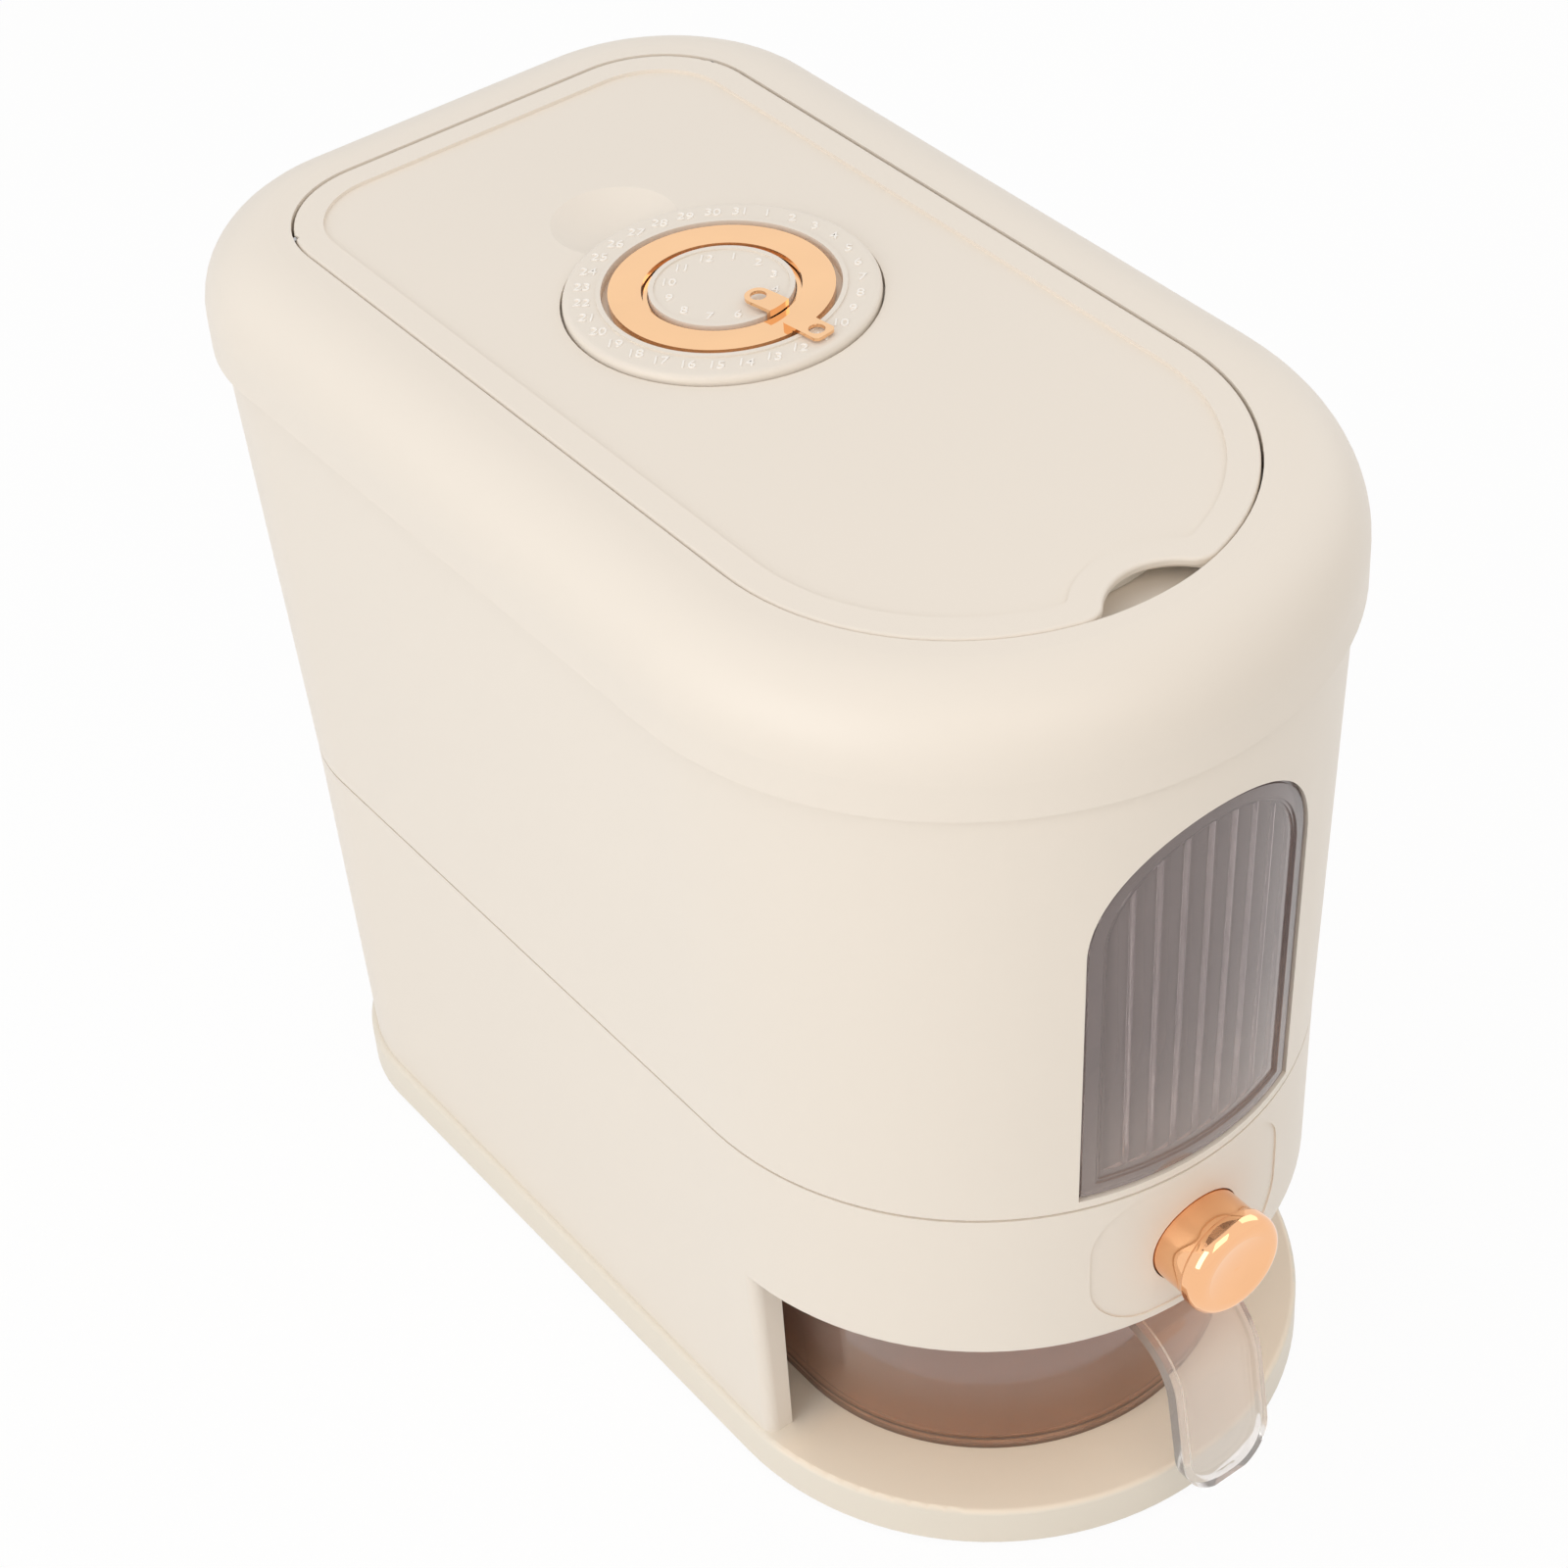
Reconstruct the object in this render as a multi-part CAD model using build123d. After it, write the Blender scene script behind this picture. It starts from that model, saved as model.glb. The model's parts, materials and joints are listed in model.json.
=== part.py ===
"""Counter-top rice dispenser: a hopper with a hinged lid and a date dial, a push-button
gate under the hopper and a measuring cup that slides out of a bay in the lower body.
The front is -Y, +Z is up, and the origin is under the middle of the whole object."""
import os
from math import atan2, cos, pi, radians, sin, sqrt

from build123d import *

os.makedirs("parts", exist_ok=True)

# Plan outline that every moulding follows: round front, straight sides, rounded back
AXIS_SPAN = 195.5          # from the axis of the front arc to the axes of the back corners
CORNER_X = 42.5            # from the middle plane to the axis of a back corner
RIM_HALF = 102.8           # half width of the top rim
SEAM_IN = 8.8              # how much narrower the body is at the seam
FOOT_IN = 2.5              # how much the lower body draws in from the seam to the base
BASE_OUT = 2.0             # how far the base stands out under the lower body
LID_IN = 28.2              # width of the rim round the lid

# Heights
FOOT_PROUD = 1.5
BASE_T = 13.5
SHELL_H = 149.0
RIM_H = 33.0

# Walls and clearances
WALL = 2.5
FIT = 0.3                  # gap between mouldings that seat in one another
RUN = 0.05                 # radial gap of a turning or sliding fit
SLIDE = 0.35               # gap round a piece that slides in a guide
SEAM_GAP = 0.9             # open line between the hopper shell and the lower body
LIP_H = 4.0
LIP_T = 2.0

# Top rim and lid
RIM_ROUND = 22.0
RIM_OVERLAP = 5.0          # how far the rim reaches down over the hopper shell
LID_GAP = 0.7
LID_T = 5.2
LID_SKIN = 2.7
LID_BORDER = 8.5
LID_SINK = 1.1             # how far the panel lies under the lid's border
LID_EDGE_R = 1.0
LEDGE_DROP = 8.6           # from the lid's top to the ledge of the well
NOTCH_HALF = 17.0
NOTCH_DEEP = 11.5
NOTCH_R = 7.0              # where the notch runs out into the lid's edge
NOTCH_LIP = 2.0            # lid's thickness at the notch
NOTCH_UNDER = 3.5          # how far the finger reaches under that lip
SEAL_W = 5.0
MOUTH_INSET = 11.0         # from the lid's outline to the mouth of the hopper
MOUTH_BACK = 22.0          # further inset of the mouth behind, for the hinge
MOUTH_FRONT = 10.0         # further inset of the mouth in front, for the finger notch
PLUG_T = 2.0
PLUG_H = 5.5
HINGE_IN = 20.0            # hinge axis in front of the lid's back edge
HINGE_DEEP = 1.8           # hinge axis below the lid's top
HINGE_RELIEF = 2.2         # half length of the lid's relief beside a pin
PIN_R = 1.0
PIN_LEN = 13.0
PIN_IN_LID = 6.0
PIN_BOSS_R = 3.6

# Date dial in the lid
DIAL_BACK = 124.5          # dial axis in front of the lid's back edge
DIAL_R = 43.5
DIAL_EDGE_R = 1.8
DIAL_PROUD = 1.4           # dial face above the lid's border
DIAL_T = 4.6
DIAL_FLANGE = 4.5
DIAL_BEAD = 1.4
DIAL_BEAD_H = 0.5
DIAL_BAND = 12.5           # from the dial's edge to the day ring
RING_W = 9.1
RING_T = 3.0
RING_PROUD = 0.2
TRACK_GAP = 1.9            # open groove beside the ring
HUB_GAP = 1.9              # from the day ring to the month disc
TAB_W = 7.4
TAB_HOLE_R = 2.3
TAB_T = 1.0
DAY_TAB_IN = 3.5           # from the dial's edge to the day tab's end
DAY_TAB_ROOT = 3.0         # how far the day tab lies on the ring
DAY_TAB_CORNER = 1.6
DAY_TAB_ANGLE = -82.0      # where the day tab points, counted from +X
MONTH_TAB_LEN = 10.1       # over the month disc
MONTH_TAB_CORNER = 3.5
MONTH_TAB_ANGLE = -79.0
MONTH_RISE = 2.0
HOOP_T = 1.2               # ring of the month pointer, deep in its gap
CARTRIDGE_GAP = 1.0        # round the cup, in its hole in the lid
CARTRIDGE_H = 20.0
CARTRIDGE_T = 1.6
CARTRIDGE_LIP = 1.2        # flange that hangs in the lid, under the dial
CARTRIDGE_SLOTS = 7
SCOOP_R = 38.0             # ball that leaves the finger scoop behind the dial
SCOOP_DEEP = 4.6
SCOOP_BEHIND = 7.5         # from the dial's edge to the scoop's deepest point

# Window in the front of the hopper shell
WINDOW_HALF = 37.0
WINDOW_LOW = 4.0           # above the seam
WINDOW_DROP = 18.0         # below the rim
WINDOW_SINK = 0.7
WINDOW_FRAME = 5.6
WINDOW_EDGE = 0.8          # step round the frame, wide and deep
WINDOW_LINE = 1.0          # width of the step inside the frame
WINDOW_FIELD = 1.0
WINDOW_FLANGE = 3.0
WINDOW_FLANGE_T = 1.8
FLUTES = 8
FLUTE_R = 6.0
FLUTE_DEEP = 1.2

# Cup bay in the lower body
BAY_H = 70.0
POST_W = 8.5
BAY_BACK = 86.0            # behind the front axis
POST_FRONT = 9.0           # in front of the front axis
POST_R = 3.5
CEILING_UP = 1.5

# Hopper floor, gate and button
FLOOR_T = 2.2
FLOOR_FRONT = 8.5          # above the seam
FLOOR_BACK = 100.0
THROAT_IN = 12.0           # from the gate's front edge to the throat
THROAT_LONG = 8.6
THROAT_HALF = 30.0
THROAT_TALL = 8.0
FLANGE_T = 2.5
GATE_SIDE = 5.65           # side walls of the gate
GATE_UP = 8.5              # shutter's underside above the bay's ceiling
GATE_T = 2.6
GATE_PLATE = 2.8
GATE_BEHIND = 15.0
SPOUT_DOWN = 4.0
SHUTTER_EDGE = 6.0         # shutter beyond each end of the throat
TRAVEL = 9.0
SLEEVE_UP = 1.95           # button's sleeve above the bay's ceiling
SEAM_UP = 8.45             # hopper shell's lip above the button's sleeve
BARREL_R = 15.0
BARREL_IN = 18.0           # how far the barrel reaches behind the skirt
BARREL_OUT = 9.5
CAP_FLARE = 1.0            # cap beyond the barrel
CAP_T = 7.0
CAP_CROWN = 3.8            # rounding of the cap
CAP_LAND = 1.0             # flat ring round the cap's dish
CAP_DISH = 1.3
ROD_R = 4.0
SLEEVE_T = 2.2
SLEEVE_LEN = 10.0
PAD_HALF = 34.0            # sunk field round the button
PAD_CORNER = 18.0
PAD_DEEP = 0.5
SPRING_R = 6.6
SPRING_WIRE = 0.6
SPRING_TURNS = 5
SPRING_SPACE = 18.0

# Measuring cup
CUP_SIDE = 13.0            # from the bay's sides to the cup
CUP_UNDER = 5.5            # from the top of the bay to the cup's mouth
CUP_REAR = 6.0             # from the bay's back to the cup
CUP_FLARE = 2.5
CUP_T = 2.2
CUP_FLOOR = 2.6
CUP_CORNER = 20.0
CUP_FOOT = 1.2
CUP_BAND = 5.0             # fine groove above the cup's foot
HANDLE_W = 31.5
HANDLE_T = 2.4
HANDLE_EDGE = 2.0
HANDLE_EDGE_W = 2.6
HANDLE_DROP = 2.5          # below the cup's mouth
HANDLE_RUN = 16.0
HANDLE_R = 20.0
HANDLE_TILT = 15.0         # slope where it leaves the cup
HANDLE_TURN = 67.0
HANDLE_LEN = 37.5
HANDLE_TIP_R = 14.0

# Feet and screws
FOOT_R = 9.0
FOOT_T = 3.0
SCREW_R = 1.5
SCREW_HEAD_R = 2.9
SCREW_HEAD_T = 1.8
SCREW_LEN = 10.0
BOSS_R = 4.2

# Sizes that follow from their neighbours
SEAM_HALF = RIM_HALF - SEAM_IN
FOOT_HALF = SEAM_HALF - FOOT_IN
BASE_HALF = FOOT_HALF + BASE_OUT
LID_HALF = RIM_HALF - LID_IN
RING_OUT = DIAL_R - DIAL_BAND
RING_IN = RING_OUT - RING_W
HUB_R = RING_IN - HUB_GAP
DAY_TAB_REACH = DIAL_R - DAY_TAB_IN
MONTH_TAB_REACH = HUB_R - MONTH_TAB_LEN
CARTRIDGE_R = DIAL_R - DIAL_FLANGE - CARTRIDGE_GAP
SCOOP_OFF = DIAL_R + SCOOP_BEHIND
WINDOW_HIGH = SHELL_H - WINDOW_DROP
BAY_HALF = FOOT_HALF - POST_W
SHUTTER_HALF = THROAT_HALF + SHUTTER_EDGE
GATE_HALF = SHUTTER_HALF + SLIDE + GATE_SIDE
CAP_R = BARREL_R + CAP_FLARE
SLEEVE_R = BARREL_R + SLIDE + SLEEVE_T
CUP_HALF = BAY_HALF - CUP_SIDE
CUP_H = BAY_H - CUP_UNDER
CUP_BACK = BAY_BACK - CUP_REAR

# Levels, counted from the table
BASE_Z = FOOT_PROUD
BASE_TOP = BASE_Z + BASE_T
BAY_TOP = BASE_TOP + BAY_H
CEILING_Z = BAY_TOP + CEILING_UP
CEILING_TOP = CEILING_Z + WALL
GATE_Z = CEILING_TOP + GATE_UP
GATE_TOP = GATE_Z + GATE_T + 2 * SLIDE + GATE_PLATE
BUTTON_Z = CEILING_TOP + SLEEVE_UP + SLEEVE_R
SEAM_Z = BUTTON_Z + SLEEVE_R + SEAM_UP + LIP_H
RIM_Z = SEAM_Z + SHELL_H
LID_Z = RIM_Z + RIM_H
SHELL_TOP = RIM_Z + RIM_OVERLAP
CUP_Z = BASE_TOP + FIT / 2
LEDGE_Z = LID_Z - LEDGE_DROP
DIAL_Z = LID_Z + DIAL_PROUD
SEAT_Z = DIAL_Z - DIAL_T - FIT / 2 - CARTRIDGE_LIP
SHELL_HALF = RIM_HALF - WALL - FIT
LOWER_LEAN = FOOT_IN / (SEAM_Z - BASE_TOP)
SKIRT_HALF = FOOT_HALF + LOWER_LEAN * (BUTTON_Z - BASE_TOP)
BUTTON_PROUD = BARREL_OUT + CAP_T

# Places along the object, with the whole length centred on the origin
TOTAL_LEN = AXIS_SPAN + RIM_HALF - CORNER_X + SKIRT_HALF + BUTTON_PROUD
FRONT_Y = SKIRT_HALF + BUTTON_PROUD - TOTAL_LEN / 2
CORNER_Y = FRONT_Y + AXIS_SPAN
LID_BACK_Y = CORNER_Y + LID_HALF - CORNER_X
HINGE_Y = LID_BACK_Y - HINGE_IN
HINGE_Z = LID_Z - HINGE_DEEP
DIAL_Y = LID_BACK_Y - DIAL_BACK
POST_Y = FRONT_Y - POST_FRONT
BAY_BACK_Y = FRONT_Y + BAY_BACK
SKIRT_Y = FRONT_Y - SKIRT_HALF
BARREL_BACK_Y = SKIRT_Y + BARREL_IN
BRACKET_Y = BARREL_BACK_Y + SPRING_SPACE
TAB_Y = BRACKET_Y + 2 * WALL + FIT
GATE_FRONT_Y = TAB_Y + TRAVEL + WALL + 2 * FIT
THROAT_Y = GATE_FRONT_Y + THROAT_IN
GATE_BACK_Y = THROAT_Y + THROAT_LONG + GATE_BEHIND

UP = (0, 0, 1)


def box(x0, x1, y0, y1, z0, z1):
    """Block between three pairs of limits."""
    middle = Pos((x0 + x1) / 2, (y0 + y1) / 2, (z0 + z1) / 2)
    return middle * Box(x1 - x0, y1 - y0, z1 - z0)


def disc(radius, x, y, z0, z1):
    """Upright cylinder between two levels."""
    return Pos(x, y, (z0 + z1) / 2) * Cylinder(radius, z1 - z0)


def bar_y(radius, x, z, y0, y1):
    """Cylinder lying along Y."""
    return Pos(x, (y0 + y1) / 2, z) * Rot(X=90) * Cylinder(radius, y1 - y0)


def bar_x(radius, y, z, x0, x1):
    """Cylinder lying along X."""
    return Pos((x0 + x1) / 2, y, z) * Rot(Y=90) * Cylinder(radius, x1 - x0)


def plan(half, z=0.0, back_in=0.0, front_in=0.0):
    """Outline of the mouldings at one half width, as a face at level z."""
    corner = half - CORNER_X
    turn = corner / sqrt(2)
    corner_y = CORNER_Y - back_in
    back = corner_y + corner
    front = FRONT_Y + front_in
    edges = [
        ThreePointArc((-half, front), (0, front - half), (half, front)),
        Line((half, front), (half, corner_y)),
        ThreePointArc((half, corner_y), (CORNER_X + turn, corner_y + turn), (CORNER_X, back)),
        Line((CORNER_X, back), (-CORNER_X, back)),
        ThreePointArc((-CORNER_X, back), (-CORNER_X - turn, corner_y + turn), (-half, corner_y)),
        Line((-half, corner_y), (-half, front)),
    ]
    return Pos(0, 0, z) * make_face(edges)


def prism(half, z0, z1):
    """Upright solid on the plan outline."""
    return extrude(plan(half, z0), z1 - z0, dir=UP)


def ring(outer, inner, z0, z1):
    """Band between two plan outlines."""
    return prism(outer, z0, z1) - prism(inner, z0, z1)


def mouth(grow, z0, z1):
    """Upright solid of the hopper's mouth, widened all round."""
    face = plan(LID_HALF - MOUTH_INSET + grow, z0, MOUTH_BACK, MOUTH_FRONT)
    return extrude(face, z1 - z0, dir=UP)


def drafted(half0, z0, half1, z1):
    """Solid between two plan outlines at different levels."""
    return loft([plan(half0, z0), plan(half1, z1)], ruled=True)


def shell_core(inset):
    """Solid of the hopper shell's outer form, drawn in by an inset."""
    return drafted(SEAM_HALF - inset, SEAM_Z, SHELL_HALF - inset, SHELL_TOP)


def lower_core(inset, z0=BASE_TOP, z1=SEAM_Z):
    """Solid of the lower body's outer form between two levels, drawn in by an inset."""
    low = FOOT_HALF + LOWER_LEAN * (z0 - BASE_TOP) - inset
    high = FOOT_HALF + LOWER_LEAN * (z1 - BASE_TOP) - inset
    return drafted(low, z0, high, z1)


def spin_front(profile, y, z):
    """Turned piece about an axis along Y; the profile's height runs to the front."""
    return Pos(0, y, z) * Rot(X=90) * revolve(Plane.XZ * profile, Axis.Z)


def spin_up(profile, z):
    """Turned piece about the dial's axis; the profile's height is counted from level z."""
    return Pos(0, DIAL_Y, z) * revolve(Plane.XZ * profile, Axis.Z)


def outline(points):
    """Closed face through straight lines."""
    return make_face(Polyline(*points, close=True))


def foot_places():
    """Middles of the four feet."""
    front = FRONT_Y - BASE_HALF / 2
    back = CORNER_Y
    return [(-BASE_HALF / 2, front), (BASE_HALF / 2, front), (-BASE_HALF / 2, back), (BASE_HALF / 2, back)]


def base_screw_places():
    """Screws into bosses against the lower body's wall, behind the bay."""
    side = FOOT_HALF - WALL - BOSS_R / 2
    back = CORNER_Y + FOOT_HALF - CORNER_X - WALL - BOSS_R / 2
    ahead = BAY_BACK_Y + 8 * WALL
    return [(-side, ahead), (side, ahead), (-CORNER_X, back), (CORNER_X, back)]


def gate_screw_places():
    """Screws through the funnel's flange into the gate housing's sides."""
    x = (SHUTTER_HALF + SLIDE + GATE_HALF) / 2
    return [(sx * x, y) for sx in (-1, 1) for y in (GATE_FRONT_Y + BOSS_R, GATE_BACK_Y - BOSS_R)]


def base_plate():
    """Tray-like plate under the body, ribbed below, with a lip that centres the body."""
    plate = prism(BASE_HALF, BASE_Z, BASE_TOP)
    plate = fillet(plate.edges().group_by(Axis.Z)[-1], WALL * 0.7)
    pocket = prism(BASE_HALF - WALL, BASE_Z, BASE_TOP - WALL)
    rib_step = AXIS_SPAN / 4
    for index in range(-1, 5):
        y = FRONT_Y + index * rib_step
        pocket -= box(-BASE_HALF, BASE_HALF, y - WALL / 2, y + WALL / 2, BASE_Z, BASE_TOP)
    for x in (-CORNER_X, 0, CORNER_X):
        pocket -= box(x - WALL / 2, x + WALL / 2, FRONT_Y - BASE_HALF, CORNER_Y + BASE_HALF, BASE_Z, BASE_TOP)
    for x, y in foot_places():
        pocket -= disc(FOOT_R + WALL, x, y, BASE_Z, BASE_TOP)
    for x, y in base_screw_places():
        pocket -= disc(SCREW_HEAD_R + WALL, x, y, BASE_Z, BASE_TOP)
    plate -= pocket
    lip = ring(FOOT_HALF - WALL - FIT, FOOT_HALF - WALL - FIT - LIP_T, BASE_TOP - WALL / 2, BASE_TOP + LIP_H)
    lip &= box(-BASE_HALF, BASE_HALF, POST_Y + 3 * WALL, CORNER_Y + BASE_HALF, BASE_Z, BASE_TOP + LIP_H)
    for x, y in base_screw_places():
        lip -= disc(BOSS_R + FIT, x, y, BASE_TOP, BASE_TOP + LIP_H)
    plate += lip
    for x, y in foot_places():
        plate -= disc(FOOT_R + FIT / 2, x, y, BASE_Z, BASE_Z + FOOT_T - FOOT_PROUD)
    for x, y in base_screw_places():
        plate -= disc(SCREW_HEAD_R + FIT, x, y, BASE_Z, BASE_TOP - WALL)
        plate -= disc(SCREW_R + FIT / 2, x, y, BASE_Z, BASE_TOP)
    return plate


def rubber_feet():
    """Four round pads let into the base."""
    pads = []
    for x, y in foot_places():
        pad = disc(FOOT_R, x, y, BASE_Z - FOOT_PROUD, BASE_Z - FOOT_PROUD + FOOT_T)
        pads.append(fillet(pad.edges().group_by(Axis.Z)[0], FOOT_PROUD / 2))
    return Compound(children=pads)


def screw(x, y, z, pointing):
    """Pan-head screw with its head's underside at level z; pointing is +1 up or -1 down."""
    head = disc(SCREW_HEAD_R, x, y, min(z, z - pointing * SCREW_HEAD_T), max(z, z - pointing * SCREW_HEAD_T))
    shank = disc(SCREW_R, x, y, min(z, z + pointing * SCREW_LEN), max(z, z + pointing * SCREW_LEN))
    return head + shank


def base_screws():
    """Screws that hold the base plate to the lower body."""
    return Compound(children=[screw(x, y, BASE_TOP - WALL, 1) for x, y in base_screw_places()])


def gate_screws():
    """Screws that hold the funnel to the gate housing."""
    return Compound(children=[screw(x, y, GATE_TOP + FLANGE_T, -1) for x, y in gate_screw_places()])


def post_block(z1):
    """Low part of the body, cut off square in front, with rounded corners on the two posts."""
    far = 2 * BASE_HALF + AXIS_SPAN
    block = lower_core(0, BASE_TOP, z1) - box(-far, far, -far, POST_Y, 0, z1)
    cut = [edge for edge in block.edges() if abs(edge.center().Y - POST_Y) < FIT and edge.length < BASE_HALF]
    return fillet(cut, POST_R)


def lower_body():
    """Lower moulding: skirt in front, cup bay under it, two posts and a hollow back."""
    far = 2 * BASE_HALF + AXIS_SPAN
    body = post_block(BAY_TOP) + lower_core(0, BAY_TOP, SEAM_Z)
    bay_back = BAY_BACK_Y + WALL
    bay = box(-BAY_HALF - WALL, BAY_HALF + WALL, -far, bay_back, 0, SEAM_Z)
    behind_posts = box(-far, far, POST_Y + WALL, far, 0, CEILING_Z)
    body -= lower_core(WALL, BASE_TOP, CEILING_Z) & (behind_posts - bay)
    body -= lower_core(WALL, BAY_TOP, CEILING_Z) & box(-far, far, -far, POST_Y + WALL, 0, CEILING_Z)
    body -= lower_core(WALL, CEILING_Z, CEILING_TOP) & box(-far, far, bay_back, far, 0, SEAM_Z)
    body -= lower_core(WALL, CEILING_TOP, SEAM_Z)
    body -= box(-BAY_HALF, BAY_HALF, -far, BAY_BACK_Y, 0, BAY_TOP)
    body -= lower_core(WALL, BAY_TOP, CEILING_Z) & box(-BAY_HALF, BAY_HALF, -far, BAY_BACK_Y, 0, CEILING_Z)
    spout_half = THROAT_HALF + WALL + FIT
    spout_y = (THROAT_Y - WALL - FIT, THROAT_Y + THROAT_LONG + WALL + FIT)
    body -= box(-spout_half, spout_half, *spout_y, CEILING_Z - WALL, CEILING_TOP + WALL)
    pad_face = Plane.XZ * RectangleRounded(2 * PAD_HALF, SEAM_Z - BAY_TOP - 2 * WALL, PAD_CORNER)
    pad = extrude(Pos(0, FRONT_Y, (BAY_TOP + SEAM_Z) / 2) * pad_face, RIM_HALF, dir=(0, -1, 0))
    body -= pad - lower_core(PAD_DEEP, BAY_TOP, SEAM_Z)
    body -= bar_y(BARREL_R + SLIDE, 0, BUTTON_Z, SKIRT_Y - WALL, SKIRT_Y + 4 * WALL)
    for x, y in base_screw_places():
        boss = disc(BOSS_R, x, y, BASE_TOP, BASE_TOP + SCREW_LEN + WALL) & lower_core(0)
        body += boss
        body -= disc(SCREW_R, x, y, BASE_TOP, BASE_TOP + SCREW_LEN)
    return body


def window_arch(grow, y_reach):
    """Arched prism through the front wall; grow widens the opening all round."""
    half = WINDOW_HALF + grow
    low = SEAM_Z + WINDOW_LOW - grow
    spring = SEAM_Z + WINDOW_HIGH - WINDOW_HALF
    edges = [
        Line((-half, low), (half, low)),
        Line((half, low), (half, spring)),
        ThreePointArc((half, spring), (0, spring + half), (-half, spring)),
        Line((-half, spring), (-half, low)),
    ]
    face = Plane.XZ * make_face(edges)
    return extrude(Pos(0, FRONT_Y, 0) * face, y_reach, dir=(0, -1, 0))


def hopper_shell():
    """Upper wall, wider at the top, with the window's opening and a lip into the lower body."""
    shell = shell_core(0) - shell_core(WALL) - prism(RIM_HALF, 0, SEAM_Z + SEAM_GAP)
    shell += ring(SEAM_HALF - WALL / 2, SEAM_HALF - WALL - FIT - LIP_T, SEAM_Z, SEAM_Z + LIP_H)
    shell += ring(SEAM_HALF - WALL - FIT, SEAM_HALF - WALL - FIT - LIP_T, SEAM_Z - LIP_H, SEAM_Z + LIP_H)
    return shell - window_arch(FIT, 2 * RIM_HALF)


def view_window():
    """Clear panel with a raised frame outside and upright flutes inside."""
    back = WALL + FIT + WINDOW_FLANGE_T
    panel = (shell_core(WINDOW_SINK) - shell_core(back)) & window_arch(0, 2 * RIM_HALF)
    flange = (shell_core(WALL + FIT) - shell_core(back)) & window_arch(WINDOW_FLANGE, 2 * RIM_HALF)
    panel += flange - box(-RIM_HALF, RIM_HALF, -TOTAL_LEN, TOTAL_LEN, SEAM_Z, SEAM_Z + LIP_H + FIT)
    edge = window_arch(FIT, 2 * RIM_HALF) - window_arch(-WINDOW_EDGE, 2 * RIM_HALF)
    panel -= (shell_core(-WALL) - shell_core(WINDOW_SINK + WINDOW_EDGE)) & edge
    for frame, deep in ((WINDOW_FRAME - WINDOW_LINE, WINDOW_FIELD / 2), (WINDOW_FRAME, WINDOW_FIELD)):
        panel -= (shell_core(-WALL) - shell_core(WINDOW_SINK + deep)) & window_arch(-frame, 2 * RIM_HALF)
    reach = WINDOW_HALF - WINDOW_FRAME - WALL
    step = 2 * reach / FLUTES
    inner = SEAM_HALF - back
    lean = atan2(SHELL_HALF - SEAM_HALF, SHELL_TOP - SEAM_Z)
    for index in range(FLUTES):
        turn = (index + 0.5 - FLUTES / 2) * step / inner
        away = inner - FLUTE_R + FLUTE_DEEP
        foot = (away * sin(turn), FRONT_Y - away * cos(turn), SEAM_Z)
        along = (sin(turn) * sin(lean), -cos(turn) * sin(lean), cos(lean))
        tool = extrude(Plane(foot, z_dir=along) * Circle(FLUTE_R), SHELL_H + RIM_H)
        panel -= tool & window_arch(-WINDOW_FRAME - WALL / 2, 2 * RIM_HALF)
    return panel


def floor_face(half, front_y, back_y, front_z, back_z):
    """Four-sided face whose back edge may lie higher than its front edge."""
    front = [(-half, front_y, front_z), (half, front_y, front_z)]
    back = [(half, back_y, back_z), (-half, back_y, back_z)]
    return outline(front + back)


def hopper_funnel():
    """Sloping floor of the hopper, falling from every side to a slot over the gate."""
    front = FRONT_Y - SHELL_HALF
    back = CORNER_Y + SHELL_HALF - CORNER_X
    throat_z = GATE_TOP + THROAT_TALL
    slot_y = (THROAT_Y, THROAT_Y + THROAT_LONG)

    def slopes(drop, grow):
        rise = (SEAM_Z + FLOOR_FRONT - drop, SEAM_Z + FLOOR_BACK - drop)
        top = floor_face(SHELL_HALF, front, back, *rise)
        low_z = throat_z - drop
        low = floor_face(THROAT_HALF + grow, slot_y[0] - grow, slot_y[1] + grow, low_z, low_z)
        return loft([low, top], ruled=True)

    floor = slopes(FLOOR_T * 1.3, FLOOR_T) - slopes(0, 0)
    inside = drafted(SEAM_HALF - WALL - FIT, SEAM_Z, SHELL_HALF - WALL - FIT, SHELL_TOP)
    inside += prism(SEAM_HALF - WALL - 2 * FIT - LIP_T, GATE_TOP, SEAM_Z + LIP_H)
    inside -= ring(SEAM_HALF, SEAM_HALF - WALL - 2 * FIT - LIP_T, SEAM_Z, SEAM_Z + LIP_H + FIT)
    back_layer = shell_core(WALL) - shell_core(WALL + 2 * FIT + WINDOW_FLANGE_T)
    inside -= back_layer & window_arch(WINDOW_FLANGE + FIT, 2 * RIM_HALF)
    floor &= inside
    grow = FLOOR_T
    duct = box(-THROAT_HALF - grow, THROAT_HALF + grow, slot_y[0] - grow, slot_y[1] + grow, GATE_TOP, throat_z)
    flange = box(-GATE_HALF, GATE_HALF, GATE_FRONT_Y, GATE_BACK_Y, GATE_TOP, GATE_TOP + FLANGE_T)
    floor += duct + flange
    floor -= box(-THROAT_HALF, THROAT_HALF, *slot_y, GATE_TOP, throat_z + FLOOR_T)
    for x, y in gate_screw_places():
        floor -= disc(SCREW_R + FIT / 2, x, y, GATE_TOP, GATE_TOP + FLANGE_T)
    return floor


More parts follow.
